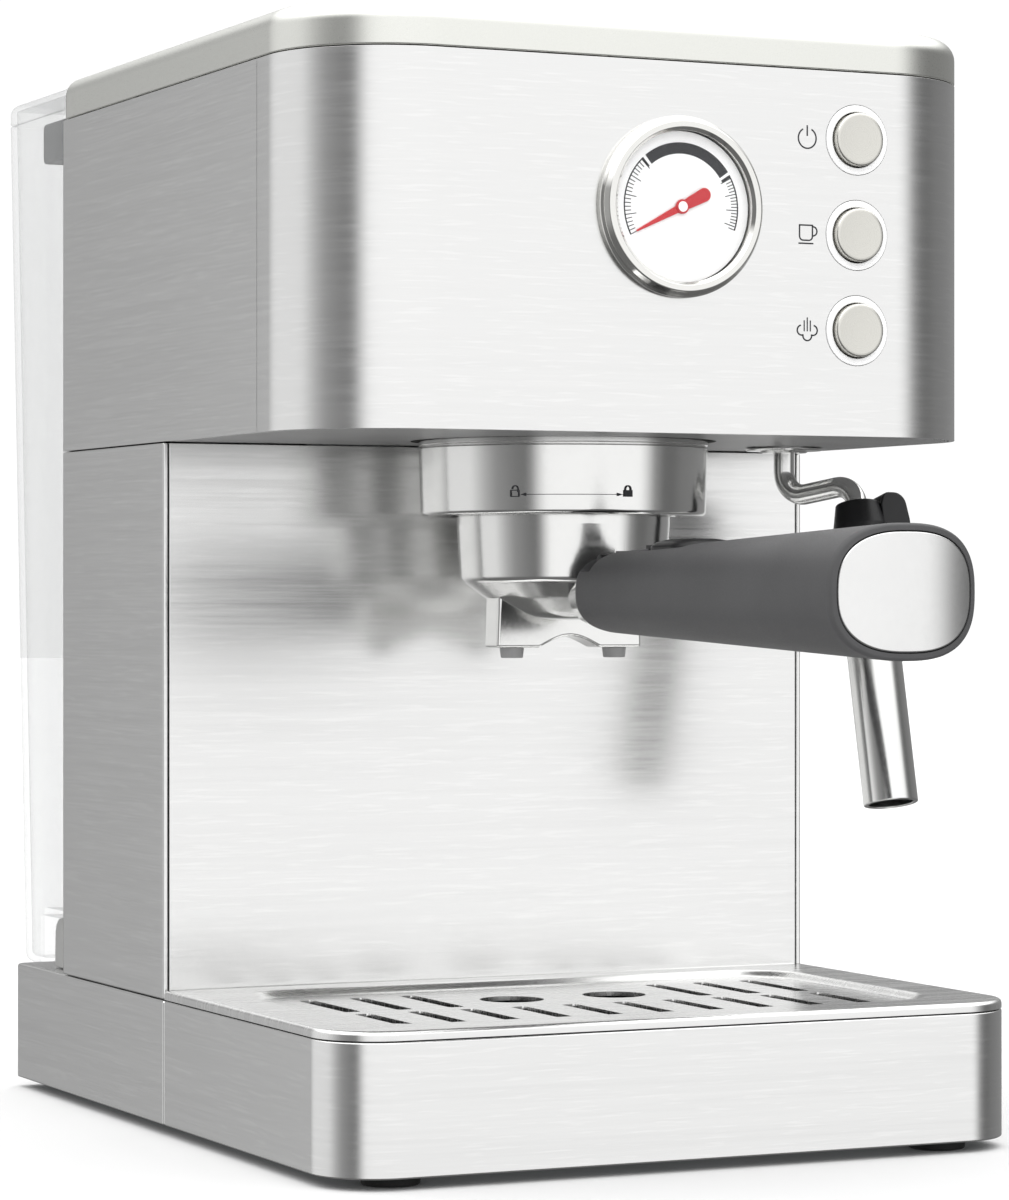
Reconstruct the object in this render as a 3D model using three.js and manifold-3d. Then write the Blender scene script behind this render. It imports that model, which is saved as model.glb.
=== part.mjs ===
// A compact pump espresso machine: steel base, column and head, a portafilter in a bayonet
// collar, a swivelling steam wand, a drip tray and a clear water tank behind the column.
//
// Working frame, in millimetres: x = 0 on the middle plane, y = 0 on the column's front face
// with -Y towards the user, z = 0 on the underside of the base. The exported group is moved
// so that its origin is the centre of its footprint, on the surface that it stands on.

import * as THREE from "three";
import { mergeVertices } from "three/addons/utils/BufferGeometryUtils.js";
import Module from "manifold-3d";

const wasm = await Module();
wasm.setup();

// ---- Driving dimensions ----

const width = 205;
const sheet = 1.5; // steel sheet of the casings
const gap = 0.3; // between pieces that touch
const slideGap = 0.6; // round pieces that slide or lift

// Base
const baseHeight = 35.1;
const baseReach = 126.7; // in front of the column
const shelfDepth = 43; // behind the column
const baseCorner = 18;
const skirtWall = 2;
const basePlateThickness = 2.6;
const footRadius = 8;
const footHeight = 3;
const footInset = 20.5; // foot centre from the machine's side
const frontFootInset = 13.7;
const rearFootInset = 18;

// Column and head
const columnDepth = 88.7;
const columnHeight = 157;
const headReach = 113.3;
const headHeight = 99.3;
const headCorner = 34;
const rearCorner = 3;
const frontPanelDepth = 42.4; // how far the front panel wraps back along the sides
const undersideThickness = 2;
const lidHeight = 12.6;
const lidEdge = 5.5;
const lidWall = 3;

// Drip tray
const trayFloor = 1.6;
const binWall = 1.6;
const binHeight = 26;
const grateThickness = 2.5;
const grateSheet = 1.2;
const grateBorder = 15;
const recessSlope = 4;
const slotWidth = 4.6;
const slotLength = 35;
const slotPitch = 15.5;
const frontSlots = 10;
const sideSlots = 3; // each side of the two drain holes
const slotRowGap = 6;
const frontRowInset = 26; // front ends of the front row from the tray's front
const drainRadius = 9;

// Brew group and portafilter
const groupSetback = 2.5; // between the collar's flange and the column's front
const collarFlangeWidth = 4;
const collarFlange = 2.3; // thickness
const collarWall = 5.5;
const lipThickness = 3.5;
const collarDrop = 21.1; // below the head
const unlockAngle = 45;
const bowlRadius = 30;
const bowlWall = 2.4;
const bowlRim = 10; // height of the rim above the collar's lower face
const bowlDepth = 28; // from the collar's lower face down
const bowlClearance = 1.5; // between the bowl and the collar's lip
const lugHold = 2.2; // how far the lugs reach over the lip
const lugClearance = 0.8; // between the lugs and the collar's bore
const lugHeight = 4;
const lugWidth = 13;
const bracketWidth = 45;
const bracketDepth = 9;
const bracketDrop = 36.8; // spout bracket's lower edge below the collar's lower face
const spoutSpacing = 32;
const spoutRadius = 3.4;
const spoutDrop = 2.9;
const basketDepth = 23;
const basketWall = 0.8;
const gasketHeight = 8;

// Handle
const handleStart = 38; // near end from the group axis
const handleLength = 151.3;
const handleDrop = 21.4; // handle axis below the collar's lower face
const handleWidths = [30, 39.6];
const handleHeights = [21.5, 33.4];
const neckRadius = 4.8;
const neckDepth = 30;
const endCapRim = 2;
const endCapDepth = 3;
const clipHinge = 45; // clip pin from the group axis
const clipBarrel = 2.2;
const clipRise = 8.2; // clip pin above the handle axis
const padStart = 66;
const padLength = 26;
const padWidth = 20;

// Steam wand
const wandInset = 23.5; // swivel from the machine's right side
const wandReach = 32;
const wandRadius = 3;
const nutRadius = 11.5;
const nutHeight = 3.2;
const elbow = [10, -24]; // lower run's offset from the swivel, x and y
const elbowDrop = 11; // elbow's corner below the head
const wandTip = 100; // sleeve's open end below the head
const wandLean = [-1.3, -22.8]; // tip's offset from the elbow, x and y
const gripRadius = 10;
const gripLength = 28;
const gripTop = 15; // grip's top below the head
const sleeveRadius = 7.75;
const sleeveWall = 1.4;
const knobRadius = 17;
const knobDepth = 21;
const knobDrop = 46.7; // knob axis below the lid seam
const stemRadius = 3;

// Gauge and buttons
const gaugeDrop = 38.9; // gauge centre below the lid seam
const gaugeShift = 2; // gauge centre towards the machine's right
const bezelWidth = 4.4;
const glassRadius = 20.3;
const bezelProud = 4.4;
const gaugeDepth = 16;
const needleLength = 15.3;
const needleTail = 9.4;
const needleRest = 117; // degrees anticlockwise from straight up
const buttonInset = 46; // from the machine's right side
const buttonDrop = 18.4; // top button below the lid seam
const buttonPitch = 26;
const buttonRadius = 7.5;
const buttonProud = 1.5;
const buttonTravel = 1.5;
const buttonDepth = 7; // stem's end behind the panel's face
const switchHeight = 1;
const ringWidth = 1.7;

// Water tank
const tankInset = 1.5; // from the machine's sides
const tankTopDepth = 55.7;
const tankBottomDepth = 40.7;
const tankWall = 2;
const tankCorner = 5;
const tankLidHeight = 6.7;
const tankTopDrop = 1.8; // top of the tank's lid below the machine's top
const dockDepth = 21;
const dockHeight = 15.4;
const dockInset = 4; // from the tank's sides
const tankGripHeight = 12.3;
const tankGripDepth = 18.6;
const valveRadius = 5;

// ---- Levels and planes that follow from them ----

const half = width / 2;
const columnBottom = baseHeight + gap;
const columnTop = columnBottom + columnHeight - gap;
const headBottom = columnTop + gap;
const lidSeam = headBottom + headHeight;
const lidBottom = lidSeam + gap;
const machineTop = lidSeam + lidHeight;
const collarBottom = headBottom - collarDrop;
const collarLip = bowlRadius + bowlClearance;
const lugReach = collarLip + lugHold;
const collarBore = lugReach + lugClearance;
const collarRadius = collarBore + collarWall;
const groupReach = collarRadius + collarFlangeWidth + groupSetback;
const groupY = -groupReach;
const basketRim = collarLip - slideGap;
const ringRadius = buttonRadius + gap + ringWidth;
const bezelRadius = glassRadius + bezelWidth;
const buttonX = half - buttonInset;
const wandX = half - wandInset;
const tankWidth = width - 2 * tankInset;
const dockWidth = tankWidth - 2 * dockInset;
const baseRear = columnDepth + shelfDepth;
const tankFront = columnDepth + slideGap;
const dockY = tankFront + dockDepth / 2;

const rad = THREE.MathUtils.degToRad;

// ---- Materials ----

function material(color, roughness, metalness, opacity = 1) {
  return new THREE.MeshStandardMaterial({
    color,
    roughness,
    metalness,
    opacity,
    transparent: opacity < 1,
  });
}

const steel = material(0xb9bab8, 0.35, 1);
const polished = material(0xd2d2d0, 0.12, 1);
const satinLid = material(0xb5b6ae, 0.45, 0.6);
const galvanised = material(0x8f9496, 0.5, 0.9);
const aluminium = material(0xa7aaac, 0.5, 0.9);
const brass = material(0xb08d4c, 0.4, 1);
const darkGrey = material(0x4b4b4b, 0.6, 0);
const black = material(0x171717, 0.5, 0);
const dockGrey = material(0x6f6f6c, 0.6, 0);
const white = material(0xf4f4f2, 0.4, 0);
const red = material(0xd8232c, 0.4, 0);
const rubber = material(0x202020, 0.9, 0);
const hose = material(0xd9d6cc, 0.5, 0);
const boardGreen = material(0x2d6b46, 0.7, 0);
const clear = material(0xe8ecec, 0.1, 0, 0.35);

// ---- Making and joining shapes ----

// A closed geometry as a solid that can be joined and cut.
function solid(geometry) {
  geometry.deleteAttribute("normal");
  geometry.deleteAttribute("uv");
  const merged = mergeVertices(geometry);
  return new wasm.Manifold(
    new wasm.Mesh({
      numProp: 3,
      vertProperties: merged.attributes.position.array,
      triVerts: new Uint32Array(merged.index.array),
    }),
  );
}

function join(first, ...others) {
  return others.reduce((sum, other) => sum.add(other), first);
}

function cut(first, ...others) {
  return others.reduce((rest, other) => rest.subtract(other), first);
}

// A rectangle whose front (low y) and rear corners have their own radii.
function rectangle([x0, x1], [y0, y1], front = 0, rear = front) {
  const corners = [
    [x1, y1, -rear, -rear, 0],
    [x0, y1, rear, -rear, 90],
    [x0, y0, front, front, 180],
    [x1, y0, -front, front, 270],
  ];
  const shape = new THREE.Shape();
  shape.moveTo(x1, y1 - rear);
  for (const [x, y, inX, inY, start] of corners) {
    if (inX) shape.absarc(x + inX, y + inY, Math.abs(inX), rad(start), rad(start + 90));
    else shape.lineTo(x, y);
  }
  return shape;
}

function slab(shape, [z0, z1], curveSegments = 3) {
  const geometry = new THREE.ExtrudeGeometry(shape, {
    depth: z1 - z0,
    bevelEnabled: false,
    curveSegments,
  });
  return geometry.translate(0, 0, z0);
}

// A shape drawn in x and z, extruded along Y.
function slabAlongY(shape, [y0, y1], curveSegments = 3) {
  return slab(shape, [-y1, -y0], curveSegments).rotateX(Math.PI / 2);
}

// A shape drawn in y and z, extruded along X.
function slabAlongX(shape, [x0, x1], curveSegments = 3) {
  const turn = new THREE.Matrix4().set(0, 0, 1, 0, 1, 0, 0, 0, 0, 1, 0, 0, 0, 0, 0, 1);
  return slab(shape, [x0, x1], curveSegments).applyMatrix4(turn);
}

function polygon(points) {
  return new THREE.Shape(points.map(([x, y]) => new THREE.Vector2(x, y)));
}

function box([x0, x1], [y0, y1], [z0, z1]) {
  const geometry = new THREE.BoxGeometry(x1 - x0, y1 - y0, z1 - z0);
  return solid(geometry.translate((x0 + x1) / 2, (y0 + y1) / 2, (z0 + z1) / 2));
}

// A solid of revolution about Z through (x, y). The profile holds [radius, height] points: it
// starts and ends on the axis, or closes on itself.
function turned(profile, [x, y] = [0, 0], segments = 24) {
  const points = profile.map(([radius, height]) => new THREE.Vector2(radius, height));
  if (THREE.ShapeUtils.area(points) < 0) points.reverse();
  if (points.some((point) => point.x > 0 && point === points.at(-1))) points.push(points[0].clone());
  return new THREE.LatheGeometry(points, segments).rotateX(Math.PI / 2).translate(x, y, 0);
}

function rod(radius, [z0, z1], [x, y] = [0, 0], segments = 16) {
  const profile = [
    [0, z0],
    [radius, z0],
    [radius, z1],
    [0, z1],
  ];
  return turned(profile, [x, y], segments);
}

function ring(inner, outer, [z0, z1], [x, y] = [0, 0], segments = 24) {
  const profile = [
    [inner, z0],
    [outer, z0],
    [outer, z1],
    [inner, z1],
  ];
  return turned(profile, [x, y], segments);
}

// Turns a shape made about Z so that its axis points to the front (-Y) at (x, z): a height of h
// becomes y = -h.
function facingFront(geometry, [x, z]) {
  return geometry.rotateX(Math.PI / 2).translate(x, 0, z);
}

// The same for an axis that points along +X: a height of h becomes x = h.
function facingRight(geometry, [y, z]) {
  return geometry.rotateY(Math.PI / 2).translate(0, y, z);
}

// A round tube through points, with its corners rounded to the bend length.
function tube(points, radius, bend, steps = 24, sides = 10) {
  const corners = points.map((point) => new THREE.Vector3(...point));
  const path = new THREE.CurvePath();
  let from = corners[0];
  for (let i = 1; i < corners.length - 1; i++) {
    const before = corners[i].clone().sub(corners[i - 1]).setLength(bend);
    const after = corners[i + 1].clone().sub(corners[i]).setLength(bend);
    const start = corners[i].clone().sub(before);
    const end = corners[i].clone().add(after);
    path.add(new THREE.LineCurve3(from, start));
    path.add(new THREE.QuadraticBezierCurve3(start, corners[i], end));
    from = end;
  }
  path.add(new THREE.LineCurve3(from, corners.at(-1)));
  const section = new THREE.Shape().absarc(0, 0, radius, 0, Math.PI * 2);
  return new THREE.ExtrudeGeometry(section, {
    extrudePath: path,
    steps,
    curveSegments: sides / 2,
  });
}

// Moves every point of a geometry by a rule.
function reshape(geometry, rule) {
  const position = geometry.attributes.position;
  const point = new THREE.Vector3();
  for (let i = 0; i < position.count; i++) {
    rule(point.fromBufferAttribute(position, i));
    position.setXYZ(i, point.x, point.y, point.z);
  }
  return geometry;
}

// ---- The exported group ----

const machine = new THREE.Group();
const espressoMachine = new THREE.Group().add(machine);

// Adds a finished sub-part as one named mesh.
function addPart(name, body, partMaterial) {
  const made = body.getMesh();
  const geometry = new THREE.BufferGeometry();
  geometry.setAttribute("position", new THREE.BufferAttribute(made.vertProperties, 3));
  geometry.setIndex(new THREE.BufferAttribute(made.triVerts, 1));
  geometry.computeVertexNormals();
  const mesh = new THREE.Mesh(geometry, partMaterial);
  mesh.name = name;
  machine.add(mesh);
}

// ---- Base ----

const plateZ = [0.6, 0.6 + basePlateThickness];
const plateInset = skirtWall + slideGap;
const footY = { front: -baseReach + frontFootInset, rear: baseRear - rearFootInset };
const pump = { x: 36, y: 50, radius: 18, z: [62, 148] };
const cordInlet = { x: half - 28.5, z: 17, radius: 6 };

function buildBase() {
  const inner = half - plateInset;
  const plateY = [-baseReach + plateInset, baseRear - plateInset];
  const plate = slab(rectangle([-inner, inner], plateY, baseCorner - plateInset, 1), plateZ);
  addPart("base_plate", solid(plate), galvanised);

  for (const [end, y] of Object.entries(footY)) {
    for (const [side, sign] of [["left", -1], ["right", 1]]) {
      const at = [sign * (half - footInset), y];
      const foot = rod(footRadius, [-footHeight, plateZ[0] - gap], at, 20);
      addPart(`foot_${end}_${side}`, solid(foot), rubber);
    }
  }

  const outline = rectangle([-half, half], [0, baseRear], 0, rearCorner);
  const inside = half - skirtWall;
  const hollow = rectangle([-inside, inside], [skirtWall, baseRear - skirtWall], 0, 1);
  const top = baseHeight - skirtWall;
  const shell = cut(
    solid(slab(outline, [0, baseHeight], 1)),
    solid(slab(hollow, [-1, top], 1)),
    box([-inside, inside], [-1, skirtWall + 1], [-1, plateZ[1] + slideGap]),
    solid(rod(valveRadius + 1, [top - 1, baseHeight + 1], [0, dockY], 16)),
    solid(rod(valveRadius + 1, [top - 1, baseHeight + 1], [pump.x, pump.y], 16)),
    solid(
      facingFront(
        rod(cordInlet.radius + gap, [-baseRear - 1, -baseRear + 2 * skirtWall], [0, 0], 16),
        [cordInlet.x, cordInlet.z],
      ),
    ),
  );
  addPart("rear_base_shell", shell, steel);

  const collar = cordInlet.radius;
  const bushing = turned(
    [
      [collar - 2.5, -baseRear - 9],
      [collar - 1, -baseRear - 9],
      [collar + 2, -baseRear - gap],
      [collar, -baseRear - gap],
      [collar, -baseRear + skirtWall + 1],
      [collar - 2.5, -baseRear + skirtWall + 1],
    ],
    [0, 0],
    16,
  );
  addPart("cord_gland", solid(facingFront(bushing, [cordInlet.x, cordInlet.z])), rubber);
}

// ---- Column and head casings ----

function buildColumn() {
  const inside = half - sheet;
  const outer = rectangle([-half, half], [0, columnDepth], 0, rearCorner);
  const inner = rectangle([-inside, inside], [-1, columnDepth - sheet], 0, rearCorner - sheet);
  const casing = cut(
    solid(slab(outer, [columnBottom, columnTop], 1)),
    solid(slab(inner, [columnBottom - 1, columnTop + 1], 1)),
  );
  addPart("column_casing", casing, steel);

  const panel = box([-inside + gap, inside - gap], [0, sheet], [columnBottom, columnTop]);
  addPart("backsplash_panel", panel, steel);
}

const gaugeZ = lidSeam - gaugeDrop;
const knobZ = lidSeam - knobDrop;
const headOutline = rectangle([-half, half], [-headReach, columnDepth], headCorner, rearCorner);
const buttons = ["power", "brew", "steam"].map((use, i) => ({
  use,
  z: lidSeam - buttonDrop - i * buttonPitch,
}));

function buildHead() {
  const inside = half - sheet;
  const seamY = -headReach + frontPanelDepth;
  const hollow = rectangle(
    [-inside, inside],
    [-headReach + sheet, columnDepth - sheet],
    headCorner - sheet,
    rearCorner - sheet,
  );
  const shell = cut(
    solid(slab(headOutline, [headBottom, lidSeam])),
    solid(slab(hollow, [headBottom - 1, lidSeam + 1])),
  );
  const ahead = box([-width, width], [-width, seamY - gap], [0, machineTop]);
  const behind = box([-width, width], [seamY, width], [0, machineTop]);
  const knobHole = facingRight(
    rod(stemRadius + slideGap, [half - 5, half + 5], [0, 0], 16),
    [-wandReach, knobZ],
  );
  addPart("head_casing", cut(shell.intersect(behind), solid(knobHole)), steel);

  const face = [headReach - 5, headReach + 5];
  const holes = buttons.map(({ z }) =>
    solid(facingFront(rod(ringRadius + gap, face, [0, 0], 20), [buttonX, z])),
  );
  const gaugeHole = solid(facingFront(rod(glassRadius + 2, face, [0, 0], 28), [gaugeShift, gaugeZ]));
  addPart("head_front_panel", cut(shell.intersect(ahead), gaugeHole, ...holes), steel);

  const floor = [headBottom, headBottom + undersideThickness];
  const fit = inside - gap;
  const underside = cut(
    solid(
      slab(
        rectangle([-fit, fit], [-headReach + sheet + gap, 0], headCorner - sheet - gap, 0),
        floor,
      ),
    ),
    solid(rod(collarRadius + gap, [floor[0] - 1, floor[1] + 1], [0, groupY], 32)),
    solid(rod(nutRadius - 2.5, [floor[0] - 1, floor[1] + 1], [wandX, -wandReach], 16)),
  );
  addPart("head_underside", underside, darkGrey);
}

function buildTopLid() {
  const rounded = new THREE.ExtrudeGeometry(
    rectangle(
      [-half + lidEdge, half - lidEdge],
      [-headReach + lidEdge, columnDepth - lidEdge],
      headCorner - lidEdge,
      0.5,
    ),
    {
      depth: lidHeight,
      bevelThickness: lidEdge,
      bevelSize: lidEdge,
      bevelSegments: 3,
      curveSegments: 3,
    },
  ).translate(0, 0, machineTop - lidEdge - lidHeight);
  const inner = half - lidWall;
  const hollow = slab(
    rectangle([-inner, inner], [-headReach + lidWall, columnDepth - lidWall], headCorner - lidWall, 1),
    [lidBottom - 1, machineTop - lidWall],
  );
  const below = box([-width, width], [-width, width], [0, lidBottom]);
  addPart("top_lid", cut(solid(rounded), below, solid(hollow)), satinLid);
}

// ---- Inner frame, boiler, pump and wiring ----

const shelfZ = headBottom + undersideThickness + 2 * gap;
const frameThickness = 2;
const thermoblock = {
  x: [-36, 36],
  y: [groupY - 34, groupY + 34],
  z: [shelfZ + collarFlange + frameThickness + gap, headBottom + 42],
};
const gasketTop = collarBottom + bowlRim + gasketHeight + 2.3;
const steamValve = { x: [wandX - 12, wandX + 12], z: [headBottom + 8.4, knobZ + 12] };

function buildFrame() {
  const shelfTop = shelfZ + collarFlange + frameThickness;
  const back = sheet + gap;
  const angle = polygon([
    [back, columnBottom + gap],
    [back + frameThickness, columnBottom + gap],
    [back + frameThickness, shelfTop],
    [-headReach + 20, shelfTop],
    [-headReach + 20, shelfTop - frameThickness + gap],
    [back, shelfTop - frameThickness + gap],
  ]);
  const frame = cut(
    solid(slabAlongX(angle, [-58, 58])),
    solid(rod(collarBore + slideGap, [shelfZ, shelfTop + 1], [0, groupY], 24)),
    box([-30, 30], [-1, 10], [columnBottom + 30, columnTop - 30]),
  );
  addPart("support_frame", frame, galvanised);
}

function buildBoiler() {
  const [bottom, top] = thermoblock.z;
  const block = rectangle(thermoblock.x, thermoblock.y, 6);
  const seat = rod(collarBore - gap, [gasketTop + gap, bottom + 1], [0, groupY], 32);
  const pipes = [-15, 15].map((x) =>
    solid(facingFront(rod(3, [-thermoblock.y[1] - 6, -thermoblock.y[1] + 4], [0, 0], 10), [x, top - 12])),
  );
  const body = join(solid(slab(block, [bottom, top], 2)), solid(seat), ...pipes);
  addPart("thermoblock", body, aluminium);

  const valve = join(
    box([-62, -44], [-60, -38], [bottom + 2, bottom + 26]),
    solid(rod(7, [bottom + 20, bottom + 48], [-53, -49], 16)),
  );
  addPart("solenoid_valve", valve, brass);
}

function buildPump() {
  const { x, y, radius, z } = pump;
  const bore = 5;
  const body = cut(
    join(
      solid(rod(radius, z, [x, y], 24)),
      solid(rod(4, [z[0] - 8, z[0] + 2], [x, y], 12)),
      solid(rod(8, [z[1] - 1, z[1] + 10], [x, y], 16)),
    ),
    solid(rod(bore + gap, [z[0] + 20, z[1] + 11], [x, y], 16)),
  );
  addPart("pump_body", body, black);
  addPart("pump_piston", solid(rod(bore, [z[0] + 28, z[1] - 12], [x, y], 16)), polished);

  const dockFloor = baseHeight + 5;
  const suction = tube(
    [
      [0, dockY, dockFloor],
      [0, dockY, 20],
      [x, y, 20],
      [x, y, z[0] - 8 - gap],
    ],
    3.5,
    10,
    16,
    6,
  );
  addPart("suction_hose", solid(suction), hose);

  const port = { x: 15, y: thermoblock.y[1] + 6 + gap, z: thermoblock.z[1] - 12 };
  const pressure = tube(
    [
      [x, y, z[1] + 10 + gap],
      [x, y, port.z],
      [port.x, y, port.z],
      [port.x, port.y, port.z],
    ],
    2.5,
    9,
    16,
    6,
  );
  addPart("pressure_hose", solid(pressure), hose);
}

function buildSteamValve() {
  const y = [-wandReach - 12, -wandReach + 12];
  const body = cut(
    box(steamValve.x, y, steamValve.z),
    solid(rod(wandRadius + gap, [steamValve.z[0] - 1, steamValve.z[0] + 12], [wandX, -wandReach], 12)),
    solid(
      facingRight(
        rod(stemRadius + gap, [wandX, steamValve.x[1] + 1], [0, 0], 12),
        [-wandReach, knobZ],
      ),
    ),
  );
  addPart("steam_valve_body", body, brass);

  const pipeZ = thermoblock.z[0] + 16;
  const pipe = facingRight(
    rod(2.5, [thermoblock.x[1] + gap, steamValve.x[0] - gap], [0, 0], 10),
    [-wandReach, pipeZ],
  );
  addPart("steam_pipe", solid(pipe), polished);
}

function buildBoards() {
  const boardY = -headReach + buttonDepth + buttonTravel + switchHeight + gap;
  const buttonBoard = join(
    box([buttonX - 22.5, half - 18.5], [boardY, boardY + 1.6], [headBottom + 18, lidSeam - 5]),
    ...buttons.map(({ z }) =>
      box([buttonX - 3, buttonX + 3], [boardY - switchHeight, boardY + 1], [z - 3, z + 3]),
    ),
  );
  addPart("control_board", buttonBoard, boardGreen);

  const power = join(
    box([-82, -12], [62, 63.6], [columnBottom + 30, columnTop - 40]),
    box([-72, -44], [45, 62.5], [columnBottom + 40, columnBottom + 66]),
    box([-38, -22], [48, 62.5], [columnBottom + 44, columnBottom + 60]),
  );
  addPart("power_board", power, boardGreen);
}

// ---- Brew group ----

const flangeZ = headBottom + undersideThickness + gap;

function buildGroup() {
  const at = [0, groupY];
  const lipTop = collarBottom + lipThickness;
  const flange = [flangeZ, flangeZ + collarFlange];
  const collar = turned(
    [
      [collarLip, collarBottom],
      [collarRadius, collarBottom],
      [collarRadius, flange[0]],
      [collarRadius + collarFlangeWidth, flange[0]],
      [collarRadius + collarFlangeWidth, flange[1]],
      [collarBore, flange[1]],
      [collarBore, lipTop],
      [collarLip, lipTop],
    ],
    at,
    36,
  );
  const opening = slab(
    rectangle([-lugReach - gap, lugReach + gap], [-lugWidth / 2 - 1, lugWidth / 2 + 1]),
    [collarBottom - 1, lipTop + 1],
  );
  opening.rotateZ(rad(-unlockAngle)).translate(0, groupY, 0);
  addPart("group_collar", cut(solid(collar), solid(opening)), polished);

  const gasketZ = [gasketTop - gasketHeight, gasketTop];
  const gasketBore = bowlRadius - bowlWall;
  addPart("group_gasket", solid(ring(gasketBore, collarBore - gap, gasketZ, at)), rubber);

  const screen = turned(
    [
      [0, gasketZ[0] + 0.5],
      [gasketBore - gap, gasketZ[0] + 0.5],
      [gasketBore - gap, gasketTop],
      [gasketBore - 2, gasketTop],
      [gasketBore - 2, gasketZ[0] + 2],
      [0, gasketZ[0] + 2],
    ],
    at,
  );
  addPart("shower_screen", solid(screen), polished);
}

// ---- Portafilter ----

const handleZ = collarBottom - handleDrop;
const rimZ = collarBottom + bowlRim;
const basketRimTop = rimZ + gap + 1.2;

function buildPortafilter() {
  const at = [0, groupY];
  const knee = collarBottom - 19;
  const bottom = collarBottom - bowlDepth;
  const outer = turned(
    [
      [0, bottom],
      [12, bottom + 0.4],
      [21, bottom + 3],
      [bowlRadius - 3.5, knee - 3],
      [bowlRadius - 1, knee + 1],
      [bowlRadius, collarBottom - 3],
      [bowlRadius, rimZ],
      [0, rimZ],
    ],
    at,
    28,
  );
  const bore = bowlRadius - bowlWall;
  const hollow = turned(
    [
      [0, bottom + 7.5],
      [bore - 6, bottom + 7.5],
      [bore, knee + 3],
      [bore, rimZ + 1],
      [0, rimZ + 1],
    ],
    at,
    28,
  );
  const lugZ = [collarBottom + lipThickness + 0.5, collarBottom + lipThickness + 0.5 + lugHeight];
  const lugs = cut(
    solid(rod(lugReach, lugZ, at, 32)),
    solid(rod(bore + 1, [lugZ[0] - 1, lugZ[1] + 1], at, 28)),
    box([-width, width], [groupY + lugWidth / 2, width], [0, machineTop]),
    box([-width, width], [-width, groupY - lugWidth / 2], [0, machineTop]),
  );
  const bracketZ = collarBottom - bracketDrop;
  const arch = new THREE.Shape();
  const wide = bracketWidth / 2;
  arch.moveTo(-wide, bracketZ);
  arch.lineTo(-10, bracketZ);
  arch.quadraticCurveTo(0, bracketZ + 6, 10, bracketZ);
  arch.lineTo(wide, bracketZ);
  arch.lineTo(wide - 0.5, bottom + 5);
  arch.lineTo(0.5 - wide, bottom + 5);
  arch.closePath();
  const bracketY = [groupY - bracketDepth / 2, groupY + bracketDepth / 2];
  const neck = facingFront(
    rod(neckRadius, [groupReach + bore - 4, groupReach + handleStart + neckDepth], [0, 0], 20),
    [0, handleZ],
  );
  const channels = [-1, 1].map((sign) =>
    solid(rod(spoutRadius + gap, [bracketZ - 1, bottom + 8], [(sign * spoutSpacing) / 2, groupY], 12)),
  );
  const body = cut(
    join(
      cut(join(solid(outer), solid(slabAlongY(arch, bracketY)), solid(neck)), solid(hollow)),
      lugs,
    ),
    ...channels,
  );
  addPart("portafilter_body", body, polished);

  for (const [side, sign] of [["left", -1], ["right", 1]]) {
    const x = (sign * spoutSpacing) / 2;
    const spout = ring(spoutRadius - 1, spoutRadius, [bracketZ - spoutDrop, bracketZ + 8], [x, groupY], 12);
    addPart(`spout_${side}`, solid(spout), darkGrey);
  }

  const cup = bore - slideGap;
  const basket = turned(
    [
      [0, basketRimTop - basketDepth],
      [cup - 1.5, basketRimTop - basketDepth],
      [cup, rimZ + gap],
      [basketRim, rimZ + gap],
      [basketRim, basketRimTop],
      [cup - basketWall, basketRimTop],
      [cup - basketWall - 1.5, basketRimTop - basketDepth + basketWall],
      [0, basketRimTop - basketDepth + basketWall],
    ],
    at,
  );
  addPart("filter_basket", solid(basket), polished);
}

// Scales a section of unit half-size, drawn about the origin and extruded by one unit, to the
// handle's size at each depth, and lays it along -Y.
function handleSolid(inset, [near, far], depthSteps, curveSegments = 2) {
  const corner = 0.62;
  const section = new THREE.ExtrudeGeometry(rectangle([-1, 1], [-1, 1], corner), {
    depth: 1,
    steps: depthSteps,
    bevelEnabled: false,
    curveSegments,
  });
  return reshape(section, (point) => {
    const along = near + (far - near) * point.z;
    const share = along / handleLength;
    const across = THREE.MathUtils.lerp(handleWidths[0], handleWidths[1], share) / 2 - inset;
    const high = THREE.MathUtils.lerp(handleHeights[0], handleHeights[1], share) / 2 - inset;
    point.set(point.x * across, groupY - handleStart - along, handleZ + point.y * high);
  });
}

const clipY = groupY - clipHinge;
const clipZ = handleZ + clipRise;
const padZ = handleZ + handleHeights[0] / 2 + 0.8;

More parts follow.
